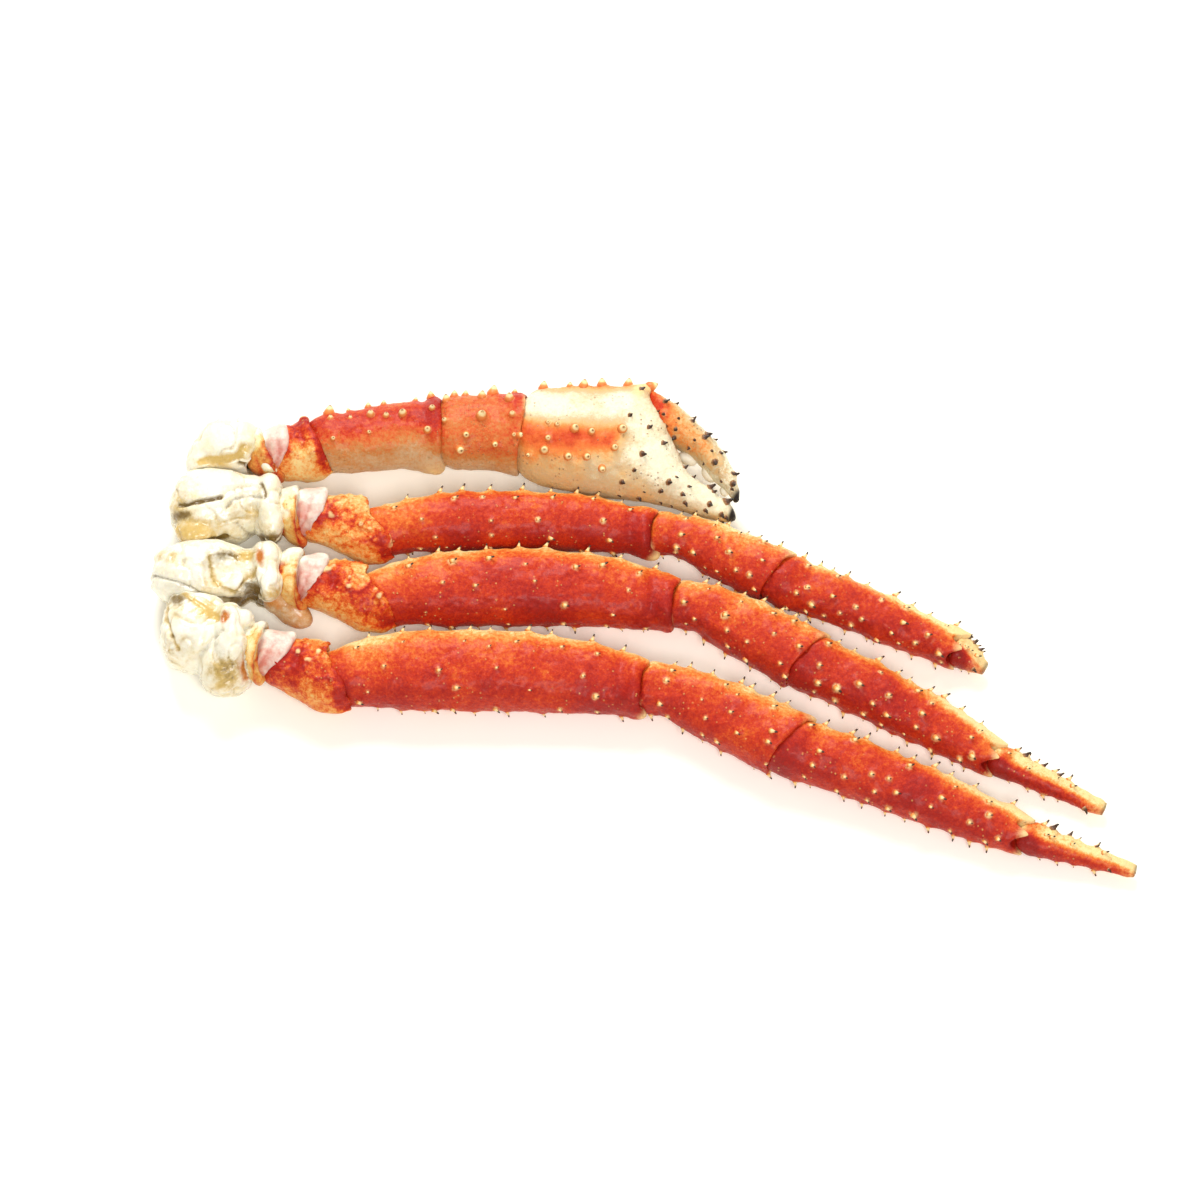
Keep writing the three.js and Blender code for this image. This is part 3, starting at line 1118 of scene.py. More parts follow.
@dataclass
class ShellPiece:
    """One shell piece of a limb.

    Attributes:
        node: Its CAD node.
        finish: Its finish.
        slot: Material slot of the record, which is not used.
        seed: Choice of its random fields.
        rows: Its rows of spines or warts.
        thorn_rows: Its rows of black thorns.
        marks: Its local changes.
        tones: Tone against the angle round the piece, which on the walking legs is partly painted light.
        voxel: Edge length of its faces in millimetres.
        swelling: Height of its broad swellings in millimetres.
        roughness: Height of its finer unevenness in millimetres.
        knobs: Height of its close-set knobs in millimetres.
        direction: Its direction in plan, or None to take its longest one.
    """

    node: str
    finish: Finish
    slot: str
    seed: int
    rows: tuple[SpineRow, ...] = ()
    thorn_rows: tuple[SpineRow, ...] = ()
    marks: tuple[Mark, ...] = ()
    tones: Profile = LEG_TONES
    voxel: float = 0.7
    swelling: float = 0.7
    roughness: float = 0.35
    knobs: float = 0.0
    direction: np.ndarray | None = None

    def noise(self, points: np.ndarray, width: float, choice: int) -> np.ndarray:
        """One of the piece's random fields, with bumps of a width in millimetres."""
        return fractal_noise(points, width * MM, self.seed + choice, 2)

    def build(self, spines: HornField | None = None, thorns: HornField | None = None) -> None:
        """Builds the piece and plants its spines.

        Args:
            spines: Field that takes its rows of spines or warts, if it has any.
            thorns: Field that takes its rows of black thorns, if it has any.
        """
        surface = Surface(skin_of((self.node,), self.voxel, SKIN_SMOOTHING))
        axis = LimbAxis(surface.points, self.direction)
        start = surface.points.copy()
        ragged = self.noise(start, 7, 3)
        weights = [mark.weight(axis, ragged) for mark in self.marks]
        upper = 1 - bell(turn_from(UNDERSIDE, axis.angle), UNDERSIDE_SPREAD)
        bumps = ramp(self.noise(start, 4.5, 7), -0.1, 0.75) * upper
        self.sculpt(surface, axis, weights, bumps)
        pale = np.zeros(len(start))
        if spines:
            pale += self.plant(surface, axis, self.rows, spines)
        if thorns:
            self.plant(surface, axis, self.thorn_rows, thorns)
        # Tone from the angle round the piece; on the walking legs this carries painted light as well as the
        # shell's own colour.
        tone = follow(axis.angle, self.tones) + TONE_DRIFT * self.noise(start, 20, 9)
        tone += TONE_RAGGEDNESS * ragged
        dark = np.zeros(len(start))
        for mark, weight in zip(self.marks, weights):
            tone += mark.tone * weight
            pale += mark.pale * weight
            dark += mark.dark * weight
        # Paler knob tops are partly painted highlight, and the darker, redder crease lines among them are
        # painted shade.
        if self.knobs:
            creases = bell(self.noise(start, 7, 13), CREASE_WIDTH) * upper
            blotches = ramp(self.noise(start, 9, 15), 0.1, 0.6)
            pale += KNOB_PALENESS * ramp(bumps, 0.4, 1.0)
            dark += CREASE_SHADE_DARKNESS * creases
            tone += CREASE_SHADE_TONE * creases + BLOTCH_TONE * blotches * upper
        for name, values in (("tone", tone), ("pale", pale), ("dark", dark)):
            surface.write(name, np.clip(values, 0, 1))
        finish_piece(f"{self.node}_skin", surface.mesh, self.finish, (self.node,))

    def sculpt(
        self, surface: Surface, axis: LimbAxis, weights: list[np.ndarray], bumps: np.ndarray
    ) -> None:
        """Gives the surface its swellings, knobs and the relief of its marks.

        Args:
            surface: The piece's surface.
            axis: The piece's centre line.
            weights: Strength of each mark at each point.
            bumps: Height of the knobs at each point, from 0 to 1.
        """
        start = surface.points
        height = self.swelling * MM * self.noise(start, 11, 0)
        height += self.roughness * MM * self.noise(start, 3.2, 5)
        height += self.knobs * MM * bumps
        relief = np.zeros(len(start))
        reach = np.zeros(len(start))
        for mark, weight in zip(self.marks, weights):
            relief += mark.height * MM * weight
            reach += mark.reach * MM * weight
        surface.points[:, :2] += reach[:, None] * axis.direction
        surface.raise_by(height + relief)

    def plant(
        self, surface: Surface, axis: LimbAxis, rows: tuple[SpineRow, ...], horns: HornField
    ) -> np.ndarray:
        """Plants rows of spines and raises a mound under each.

        Args:
            surface: The piece's surface.
            axis: The piece's centre line.
            rows: The rows.
            horns: Field that takes the spines.

        Returns:
            Paleness of each vertex round the spines.
        """
        chance = np.random.default_rng(self.seed)
        pale = np.zeros(len(surface.points))
        height = np.zeros(len(surface.points))
        planted: list[tuple[int, SpineRow, float]] = []
        tipward = np.array((*axis.direction, 0))
        for row in rows:
            step = (row.end - row.start) / row.count
            for k in range(row.count):
                along = row.start + step * (k + 0.5 + chance.uniform(-SPINE_JITTER, SPINE_JITTER))
                angle = row.angle + chance.uniform(-SPINE_TURN, SPINE_TURN)
                length = row.length * MM * chance.uniform(*SPINE_SIZES)
                index = axis.vertex_at(along, angle % 360)
                gap = surface.points - surface.points[index] - tipward * SPINE_SINK * MM
                distance = np.linalg.norm(gap, axis=1)
                reach = PALE_REACH * length + PALE_MARGIN * MM
                pale = np.maximum(pale, chance.uniform(*PALE_STRENGTHS) * bell(distance, reach))
                height = np.maximum(height, MOUND_HEIGHT * length * bell(distance, MOUND_WIDTH * reach))
                planted.append((index, row, length))
        surface.raise_by(height)
        for index, row, length in planted:
            normal = Vector(surface.normals[index])
            foot = Vector(surface.points[index]) - normal * SPINE_SINK * MM
            direction = (normal + Vector(tipward) * row.lean).normalized()
            if foot.z + direction.z * length > SPINE_CLEARANCE * MM:
                horns.plant(foot, direction, row.girth * length, length, chance.uniform(0, 2 * math.pi))
        worn = fractal_noise(surface.points, 1.8 * MM, self.seed + 17, 1)
        return pale * np.clip(0.85 + WEAR * worn, 0, 1.3)


def inner_direction(limb: str) -> np.ndarray:
    """Direction in plan of a limb's inner pieces, from its basis to its ischium."""
    low, high = (np.add(*map(np.array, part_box(f"{limb}_{piece}"))) / 2 for piece in ("basis", "ischium"))
    return (high - low)[:2]


# Carpus and dactyl tones follow the same pattern: the shell's own colour with painted light, paler along
# the back edge towards the key lamp and deepest red on the front face.
CARPUS_TONES: Profile = (
    (0, 1.0), (25, 0.94), (48, 0.75), (68, 0.53), (105, 0.39), (150, 0.28), (190, 0.2), (210, 0.3),
    (235, 0.55), (275, 0.85), (320, 1.0), (360, 1.0),
)
DACTYL_TONES: Profile = (
    (0, 1.0), (70, 1.0), (92, 0.85), (112, 0.45), (150, 0.22), (200, 0.25), (240, 0.6), (300, 1.0),
    (360, 1.0),
)
INNER_TONES: Profile = (
    (0, 0.9), (45, 0.85), (80, 0.62), (110, 0.5), (140, 0.66), (170, 0.8), (230, 0.8), (275, 0.9),
    (360, 0.9),
)
WEDGE_TONES: Profile = ((0, 1.0), (90, 0.95), (130, 0.78), (200, 0.6), (270, 0.9), (360, 1.0))
MEMBRANE_TONES: Profile = (
    (0, 1.0), (70, 0.9), (120, 0.55), (170, 0.1), (230, 0.2), (300, 0.8), (360, 1.0),
)

BASIS_MARKS = (
    Mark(End.OUTER, 0, 6, 200, 70, reach=4.5, height=1.6),
    Mark(End.OUTER, 0, 6, 60, 60, reach=-1.5, height=0.6),
    Mark(End.HEAD, 0, 30, 40, 38, pale=1.0),
    Mark(End.HEAD, 5, 1.2, 160, 60, height=-0.7, tone=-0.45),
    Mark(End.OUTER, 1, 1.0, 150, 90, height=0.5, tone=-0.55),
    Mark(End.HEAD, 2, 2, 150, 70, tone=-0.4, height=-0.5),
)
MEMBRANE_MARKS = (
    Mark(End.HEAD, 2, 4, 50, 26, height=1.2, pale=1.0),
    Mark(End.OUTER, 0, 4, 32, 20, height=0.8, pale=0.8),
    Mark(End.HEAD, 4, 1.3, 140, 60, height=-0.9, tone=-0.6),
    Mark(End.HEAD, 8, 1.0, 120, 50, height=-0.6, tone=-0.4),
    Mark(End.OUTER, 0, 7, 70, 60, reach=3.5, height=0.8),
    Mark(End.OUTER, 0, 7, 205, 60, reach=-5, height=-1.5),
    Mark(End.OUTER, 0, 50, 120, 50, height=-1.0),
)
ISCHIUM_MARKS = (
    Mark(End.OUTER, 8, 14, 200, 50, height=2.4),
    Mark(End.HEAD, 0, 9, 200, 60, reach=-5, height=1.5),
    Mark(End.HEAD, 6, 3, 110, 60, height=0.7, tone=-0.3),
    Mark(End.HEAD, 13, 2, 95, 30, height=-1.2, tone=-0.3),
    Mark(End.OUTER, 0, 4, height=-1.0),
    # Darker, less pale crescent at the outer end: painted shadow of the gap to the merus.
    Mark(End.OUTER, 1, 4, 150, 70, tone=-0.55, pale=-0.8),
    Mark(End.OUTER, 5, 3, 110, 50, height=1.0, tone=-0.3),
    Mark(End.OUTER, 12, 3, 60, 40, height=-0.9),
)
MERUS_MARKS = (
    Mark(End.HEAD, 28, 18, 30, 45, height=1.2),
    Mark(End.HEAD, 12, 8, height=0.9),
    Mark(End.HEAD, 10, 5, 140, 50, tone=-0.1),
    Mark(End.HEAD, 18, 16, 70, 90, tone=0.22),
    # Darker pinch before the outer end: painted shade in the pinch.
    Mark(End.OUTER, 12, 3.5, 70, 130, height=-1.2, tone=-0.15),
    Mark(End.OUTER, 5, 4, 140, 80, height=1.3, tone=-0.12),
    # Darker ring at the joint: painted shade in the joint crease.
    Mark(End.OUTER, 0, 3.2, height=-2.6, tone=-0.3, dark=0.12),
    Mark(End.OUTER, 0, 4, 186, 18, height=3.6, pale=1.3, reach=2.5),
    Mark(End.OUTER, 0, 4, 50, 22, height=1.8, reach=2.0, tone=0.3),
    Mark(End.OUTER, 0, 3, 40, 30, pale=0.5),
)
CARPUS_MARKS = (
    Mark(End.HEAD, 0, 2.6, height=-1.6, tone=0.25),
    Mark(End.HEAD, 7, 4, height=0.8),
    Mark(End.HEAD, 4, 3.5, 170, 26, pale=1.2, height=1.2),
    Mark(End.HEAD, 18, 9, 200, 60, height=-2.2),
    Mark(End.HEAD, 26, 18, 30, 60, height=2.0),
    Mark(End.OUTER, 0, 4, 50, 50, height=0.9, reach=3, pale=0.8),
    Mark(End.OUTER, 0, 1.8, height=-0.9, tone=0.2),
    Mark(End.OUTER, 0, 2.5, 190, 40, pale=0.8, height=0.8),
)
PROPODUS_MARKS = (
    # Darker ring round the head, which sits in the carpus socket: painted shade next to the joint.
    Mark(End.HEAD, 9, 7, tone=-0.12, height=0.8),
    Mark(End.HEAD, 20, 5, 60, 80, height=-0.6),
    Mark(End.OUTER, 6, 27, 30, 28, tone=0.6, pale=0.85),
    Mark(End.OUTER, 0, 9, 40, 60, tone=0.4),
    Mark(End.OUTER, 0, 2.5, height=-1.2),
    Mark(End.OUTER, 0, 3, 75, 16, reach=-3, height=-0.6, tone=-0.3),
    Mark(End.OUTER, 0, 3, 105, 18, reach=3.5, height=0.7, pale=0.9),
    Mark(End.OUTER, 0, 3, 150, 20, reach=-2.5, tone=-0.3),
    Mark(End.OUTER, 0, 3, 35, 20, reach=4, height=0.8, pale=1.0),
    Mark(End.OUTER, 0, 3, 195, 18, reach=3, height=0.6, pale=0.8),
)
DACTYL_MARKS = (
    Mark(End.HEAD, 7, 4, tone=-0.45, height=0.7),
    Mark(End.OUTER, 0, 9, tone=0.35, pale=0.4),
    Mark(End.OUTER, 6, 30, 35, 40, pale=0.6),
    Mark(End.OUTER, 0, 2.5, dark=0.5, height=-0.3),
)
MERUS_ROWS = (
    *row_set((24,), 9, 3.3),
    *row_set((68,), 7, 3.0, lean=1.3),
    *row_set((105, 145), 4, 2.5, start=0.1, end=0.9, lean=1.5),
    *row_set((178,), 6, 2.7, lean=1.3),
    *row_set((207,), 8, 2.6),
    *row_set((245, 300), 5, 2.6),
)
CARPUS_ROWS = (
    *row_set((24,), 7, 3.1),
    *row_set((58, 92, 126, 160), 4, 3.0, lean=1.4),
    *row_set((205,), 6, 2.6),
    *row_set((250, 310), 4, 2.6),
)
PROPODUS_ROWS = (
    *row_set((24,), 9, 3.3),
    *row_set((62, 98), 5, 3.0, lean=1.4),
    *row_set((132, 165), 7, 3.2, lean=1.4),
    *row_set((205,), 10, 2.7),
    *row_set((250, 310), 6, 2.6),
)
DACTYL_ROWS = (
    *row_set((28,), 5, 3.2, start=0.1, end=0.72, lean=0.6),
    *row_set((80, 205), 4, 2.6, start=0.1, end=0.75, lean=0.9),
)
DACTYL_THORNS = (
    *row_set((38,), 3, 3.2, start=0.1, end=0.75, girth=0.5),
    *row_set((150,), 1, 3.0, start=0.75, end=0.98, lean=1.2, girth=0.5),
)


@dataclass(frozen=True)
class InnerPieces:
    """The three inner pieces of a limb: wedge, ischium and the membrane between them.

    Attributes:
        limb: Name of the limb in its CAD nodes.
        seeds: Choice of the random fields of the wedge, ischium and membrane.
        swellings: Height of the broad swellings of each in millimetres.
        knobs: Height of the knobs of the wedge and ischium in millimetres.
        tones: Tones of the ischium.
        tone: Tone added to all of the ischium, which is lighter if it is more than 0.
    """

    limb: str
    seeds: tuple[int, int, int]
    swellings: tuple[float, float, float]
    knobs: tuple[float, float]
    tones: Profile
    tone: float = 0.0

    def build(self) -> None:
        """Builds the three pieces."""
        direction = inner_direction(self.limb)
        ShellPiece(
            f"{self.limb}_basis", WEDGE_SHELL, "joint_shell", self.seeds[0], marks=BASIS_MARKS,
            tones=WEDGE_TONES, swelling=self.swellings[0], knobs=self.knobs[0], direction=direction,
        ).build()
        ShellPiece(
            f"{self.limb}_ischium", JOINT_SHELL, "joint_shell", self.seeds[1],
            marks=(*ISCHIUM_MARKS, Mark(End.HEAD, 0, 60, tone=self.tone)),
            tones=self.tones, swelling=self.swellings[1], knobs=self.knobs[1], direction=direction,
        ).build()
        ShellPiece(
            f"{self.limb}_membrane", MEMBRANE, "joint_membrane", self.seeds[2], marks=MEMBRANE_MARKS,
            tones=MEMBRANE_TONES, swelling=self.swellings[2], direction=direction,
        ).build()


@dataclass(frozen=True)
class WalkingLeg:
    """A walking leg, from the wedge at the shoulder to the tip.

    Attributes:
        name: Name of the leg in its CAD nodes.
        seed: Choice of its random fields.
        inner_tone: Tone added to its ischium.
    """

    name: str
    seed: int
    inner_tone: float = 0.0

    def build(self) -> None:
        """Builds the leg's pieces and its spines."""
        spines = HornField(Horn.SPINE)
        thorns = HornField(Horn.SPINE)
        outer = (
            ("merus", MERUS_ROWS, (), MERUS_MARKS, LEG_TONES),
            ("carpus", CARPUS_ROWS, (), CARPUS_MARKS, CARPUS_TONES),
            ("propodus", PROPODUS_ROWS, (), PROPODUS_MARKS, LEG_TONES),
            ("dactyl", DACTYL_ROWS, DACTYL_THORNS, DACTYL_MARKS, DACTYL_TONES),
        )
        for offset, (piece, rows, thorn_rows, marks, tones) in enumerate(outer):
            ShellPiece(
                f"{self.name}_{piece}", LEG_SHELL, "leg_shell", self.seed + 20 * offset, rows=rows,
                thorn_rows=thorn_rows, marks=marks, tones=tones,
            ).build(spines, thorns)
        InnerPieces(
            self.name, (self.seed + 81, self.seed + 82, self.seed + 83), swellings=(1.3, 1.2, 0.9),
            knobs=(0.8, 1.6), tones=INNER_TONES, tone=self.inner_tone,
        ).build()
        spines.build(f"{self.name}_spines", SPINE_HORN, "leg_shell")
        thorns.build(f"{self.name}_thorns", THORN_HORN, "leg_shell")


WALKING_LEGS = (
    WalkingLeg("leg1", 100),
    WalkingLeg("leg2", 200),
    WalkingLeg("leg3", 300, inner_tone=-0.22),
)
CLAW_ISCHIUM_TONES: Profile = (
    (0, 0.4), (35, 0.2), (70, 0.3), (95, 0.75), (120, 1.0), (230, 1.0), (300, 0.9), (360, 0.4),
)
CLAW_MERUS_TONES: Profile = (
    (0, 0.45), (25, 0.32), (60, 0.22), (100, 0.32), (126, 0.58), (150, 0.85), (180, 1.0),
    (300, 1.0), (345, 0.8), (360, 0.45),
)
CLAW_CARPUS_TONES: Profile = (
    (0, 0.5), (25, 0.4), (60, 0.36), (110, 0.42), (145, 0.52), (165, 0.88), (200, 1.0),
    (300, 1.0), (345, 0.8), (360, 0.5),
)
PALM_TONES: Profile = (
    (0, 0.8), (20, 0.62), (36, 0.95), (80, 0.98), (130, 0.88), (155, 0.74), (205, 0.7), (360, 0.8),
)
FINGER_TONES: Profile = (
    (0, 0.95), (40, 0.9), (70, 0.62), (95, 0.42), (135, 0.42), (175, 0.7), (220, 0.85), (300, 0.8),
    (360, 0.95),
)

CLAW_MERUS_MARKS = (
    Mark(End.HEAD, 8, 6, height=0.8),
    Mark(End.OUTER, 4, 7, 80, 90, tone=-0.35, height=0.9),
    Mark(End.OUTER, 10, 3, 60, 110, height=-0.9),
    Mark(End.OUTER, 8, 7, 190, 28, height=3.4, tone=0.5, pale=0.6),
    # Darker ring at the joint: painted shade in the joint crease.
    Mark(End.OUTER, 0, 2.6, height=-2.0, tone=-0.3, dark=0.1),
)
CLAW_CARPUS_MARKS = (
    Mark(End.HEAD, 8, 5, height=0.7),
    Mark(End.OUTER, 0, 6, 30, 40, tone=-0.4, height=1.4),
    Mark(End.OUTER, 2, 2.5, 130, 60, pale=0.7, height=0.4),
    # Darker ring at the joint: painted shade in the joint crease.
    Mark(End.OUTER, 0, 2.4, height=-1.8, tone=-0.3, dark=0.1),
)
PALM_MARKS = (
    Mark(End.HEAD, 10, 14, 120, 25, tone=-0.75),
    Mark(End.HEAD, 35, 15, 117, 28, tone=-0.78),
    Mark(End.HEAD, 49, 5, 104, 28, tone=-0.35),
    Mark(End.HEAD, 26, 18, 22, 13, tone=-0.3, height=0.8),
    Mark(End.HEAD, 51, 3.5, 22, 18, height=1.8, pale=0.9),
    Mark(End.OUTER, 0, 2.8, dark=1.0),
    Mark(End.HEAD, 30, 24, 116, 30, height=0.5),
)
FINGER_MARKS = (
    Mark(End.HEAD, 3, 12, tone=-0.55),
    Mark(End.OUTER, 8, 17, tone=0.42),
    Mark(End.OUTER, 0, 3.6, dark=1.0),
)


WART = {"lean": 0.3, "girth": 0.72}
CLAW_MERUS_WARTS = (
    *row_set((22,), 6, 3.2, **WART),
    *row_set((66,), 6, 2.8, **WART),
    *row_set((100,), 3, 2.4, **WART),
)
CLAW_CARPUS_WARTS = (
    *row_set((22,), 4, 3.8, **WART),
    *row_set((50,), 3, 2.8, **WART),
    *row_set((92, 132), 3, 3.4, **WART),
    *row_set((112,), 2, 2.4, **WART),
)
PALM_WARTS = (
    *row_set((20,), 7, 3.4, start=0.06, end=0.58, **WART),
    *row_set((96,), 5, 3.0, start=0.1, end=0.5, **WART),
    *row_set((118,), 2, 2.6, start=0.15, end=0.5, **WART),
    *row_set((143,), 6, 3.0, start=0.0, end=0.46, **WART),
)
PALM_THORNS = (
    *row_set((25, 70), 3, 2.0, start=0.45, end=0.66, lean=0.7, girth=0.75),
    *row_set((100, 125), 4, 2.1, start=0.55, end=0.98, lean=0.6, girth=0.75),
    *row_set((150, 178), 6, 2.0, start=0.5, end=0.99, lean=0.6, girth=0.75),
    *row_set((50,), 5, 3.2, start=0.72, end=0.99, lean=0.5, girth=0.65),
    *row_set((260, 320), 4, 2.4, start=0.5, end=0.98, lean=0.5, girth=0.6),
)
FINGER_THORNS = row_set((20, 50, 80, 112, 150), 5, 2.2, start=0.08, end=0.98, lean=0.4, girth=0.75)
CLAW_TEETH = (
    Lump((21.5, 84, 14), (5, 2.8, 3.6), -25),
    Lump((31.5, 76.5, 13.5), (4.6, 3.0, 3.6), -50),
    Lump((38, 68, 13), (2.6, 1.8, 2.6), -60),
)
TOOTH_VOXEL = 0.6
TOOTH_SMOOTHING = 4


@dataclass(frozen=True)
class ClawLimb:
    """The claw limb, from the wedge at the shoulder to the two fingers.

    Attributes:
        seed: Choice of its random fields.
    """

    seed: int = 400

    def build(self) -> None:
        """Builds the limb's pieces, warts, thorns and teeth."""
        warts = HornField(Horn.WART)
        thorns = HornField(Horn.SPINE)
        InnerPieces(
            "claw", (self.seed, self.seed + 1, self.seed + 5), swellings=(1.1, 1.0, 0.7),
            knobs=(0.5, 1.3), tones=CLAW_ISCHIUM_TONES,
        ).build()
        ShellPiece(
            "claw_merus", CLAW_SHELL, "claw_shell", self.seed + 20, rows=CLAW_MERUS_WARTS,
            marks=CLAW_MERUS_MARKS, tones=CLAW_MERUS_TONES,
        ).build(warts)
        ShellPiece(
            "claw_carpus", CLAW_SHELL, "claw_shell", self.seed + 40, rows=CLAW_CARPUS_WARTS,
            marks=CLAW_CARPUS_MARKS, tones=CLAW_CARPUS_TONES,
        ).build(warts)
        ShellPiece(
            "claw_palm", PALM_SHELL, "palm_shell", self.seed + 60, rows=PALM_WARTS,
            thorn_rows=PALM_THORNS, marks=PALM_MARKS, tones=PALM_TONES,
        ).build(warts, thorns)
        ShellPiece(
            "claw_finger", FINGER_SHELL, "claw_shell", self.seed + 80, rows=FINGER_THORNS,
            marks=FINGER_MARKS, tones=FINGER_TONES,
        ).build(thorns)
        thorns.build("claw_thorns", THORN_HORN, "claw_shell")
        teeth = skin_of((), TOOTH_VOXEL, TOOTH_SMOOTHING, CLAW_TEETH)
        finish_piece("claw_teeth", teeth, TOOTH_HORN)
        warts.build("claw_warts", WART_HORN, "claw_shell")


# ---------------------------------------------------------------- shoulder

SLANT = 0.466
CRUMBLED_FROM = -195
CRUMBLED_TO = -214
RAGGED_PATCH = 0.35
RAGGED_CREASE = 0.4


@dataclass(frozen=True)
class Patch:
    """A stained, raised or sunken area of the shoulder, placed on its slanted upper face.

    Attributes:
        place: Middle on the slanted face in millimetres.
        size: Half width and half height in millimetres.
        height: How far it is raised, in millimetres.
        stain: Yellow-tan that it adds.
        deep: Olive brown that it adds, partly stain and partly painted shade.
        rust: Orange brown that it adds.
    """

    place: tuple[float, float]
    size: tuple[float, float]
    height: float = 0.0
    stain: float = 0.0
    deep: float = 0.0
    rust: float = 0.0

    def weight(self, face: np.ndarray, ragged: np.ndarray) -> np.ndarray:
        """Strength at each place on the slanted face."""
        gap = (face - np.array(self.place)) / np.array(self.size)
        return bell(np.hypot(gap[:, 0], gap[:, 1]) * (1 + RAGGED_PATCH * ragged), 1.0)


@dataclass(frozen=True)
class Crease:
    """A fold or crack of the shoulder along a path on its slanted upper face.

    Attributes:
        path: Points on the slanted face in millimetres.
        width: Half width in millimetres.
        height: How far it is raised, in millimetres.
        stain: Yellow-tan that it adds.
        deep: Olive brown that it adds, partly stain and partly painted shade.
        rust: Orange brown that it adds.
    """

    path: tuple[tuple[float, float], ...]
    width: float
    height: float = 0.0
    stain: float = 0.0
    deep: float = 0.0
    rust: float = 0.0

    def weight(self, face: np.ndarray, ragged: np.ndarray) -> np.ndarray:
        """Strength at each place on the slanted face.

        Args:
            face: Places in millimetres, one row each.
            ragged: Random field that makes its edge uneven.

        Returns:
            One value in 0 to 1 for each place.
        """
        nearest = np.full(len(face), np.inf)
        for start, end in zip(np.array(self.path), np.array(self.path[1:])):
            along = end - start
            share = np.clip((face - start) @ along / (along @ along), 0, 1)
            nearest = np.minimum(nearest, np.linalg.norm(face - start - share[:, None] * along, axis=1))
        return bell(nearest * (1 + RAGGED_CREASE * ragged), self.width)


@dataclass(frozen=True)
class Coxa:
    """One white shoulder piece.

    Attributes:
        limb: Name of its limb.
        seed: Choice of its random fields.
        lumps: Swellings merged into it.
        touches: Its patches and creases.
        voxel: Edge length of its faces in millimetres.
        smoothing: Number of smoothing passes.
        swelling: Height of its broad swellings in millimetres.
        roughness: Height of its finer unevenness in millimetres.
        fold_depth: Depth of its random folds in millimetres.
        fold_width: Width of those folds, as a share of the random field's height.
        crumble: Height of the unevenness of its broken inner edge in millimetres.
        grain: Height of the grain in its stains in millimetres.
    """

    limb: str
    seed: int
    lumps: tuple[Lump, ...] = ()
    touches: tuple[Patch | Crease, ...] = ()
    voxel: float = 0.8
    smoothing: int = 6
    swelling: float = 1.1
    roughness: float = 0.4
    fold_depth: float = 0.7
    fold_width: float = 0.06
    crumble: float = 1.6
    grain: float = 0.5

    def build(self) -> None:
        """Builds, sculpts and colours the piece."""
        node = f"{self.limb}_coxa"
        surface = Surface(skin_of((node,), self.voxel, self.smoothing, self.lumps))
        start = surface.points.copy()

        def noise(width: float, choice: int, octaves: int = 2) -> np.ndarray:
            """One of the piece's random fields, with bumps of a width in millimetres."""
            return fractal_noise(start, width * MM, self.seed + choice, octaves)

        folds = bell(np.abs(noise(11, 4)), self.fold_width)
        inner = ramp(start[:, 0], CRUMBLED_FROM * MM, CRUMBLED_TO * MM)
        height = self.swelling * MM * noise(15, 0)
        height += self.roughness * MM * noise(5, 1, 3)
        height -= self.fold_depth * MM * folds
        height += self.crumble * MM * inner * noise(6, 8, 3)
        stain = 0.35 * ramp(noise(13, 6), 0.1, 0.8) + 0.3 * folds
        stain += 0.5 * inner * ramp(noise(7, 9), -0.1, 0.6)
        deep = 0.8 * inner * ramp(noise(6, 10), 0.35, 0.8)
        rust = np.zeros(len(start))
        face = np.column_stack((start[:, 0], start[:, 1] + SLANT * start[:, 2])) / MM
        facing = ramp(surface.normals[:, 2] - SLANT * surface.normals[:, 1], -0.15, 0.1)
        ragged = noise(4, 2, 3)
        # The touches' olive brown is partly stain and partly painted shade in cracks, hollows and the gaps
        # between the coxae.
        for touch in self.touches:
            weight = touch.weight(face, ragged) * facing
            height += touch.height * MM * weight
            stain += touch.stain * weight
            deep += touch.deep * weight
            rust += touch.rust * weight
        grain = noise(1.8, 5)
        height += self.grain * MM * grain * np.clip(stain, 0, 1)
        deep += 0.35 * ramp(-grain, 0.25, 0.8) * np.clip(stain, 0, 1)
        surface.raise_by(height)
        for name, values in (("stain", stain), ("deep", deep), ("rust", rust)):
            surface.write(name, np.clip(values, 0, 1.2))
        finish_piece(f"{node}_skin", surface.mesh, SHOULDER, (node,))


@dataclass(frozen=True)
class Flap:
    """A flap of soft skin beside a joint.

    Attributes:
        name: Name of the piece.
        seed: Choice of its random field.
        lumps: The lumps that it is made of.
        stain: Yellow-tan over all of it.
        rust: Orange brown over all of it.
        voxel: Edge length of its faces in millimetres.
        smoothing: Number of smoothing passes.
        roughness: Height of its unevenness in millimetres.
    """

    name: str
    seed: int
    lumps: tuple[Lump, ...]
    stain: float
    rust: float
    voxel: float = 0.6
    smoothing: int = 5
    roughness: float = 0.4

    def build(self) -> None:
        """Builds and colours the piece."""
        surface = Surface(skin_of((), self.voxel, self.smoothing, self.lumps))
        uneven = fractal_noise(surface.points, 5 * MM, self.seed, 2)
        surface.raise_by(self.roughness * MM * uneven)
        surface.write("stain", np.clip(self.stain + 0.3 * uneven, 0, 1))
        surface.write("rust", np.clip(self.rust + 0.2 * uneven, 0, 1))
        surface.write("deep", np.zeros(len(surface.points)))
        finish_piece(self.name, surface.mesh, SHOULDER)


LEG2_FLAP = Flap(
    "leg2_flap",
    900,
    (
        Lump((-157, 9, 11), (11, 6, 8), -34),
        Lump((-164, 12, 15), (6, 5, 8), -20),
    ),
    stain=0.6,
    rust=0.6,
)

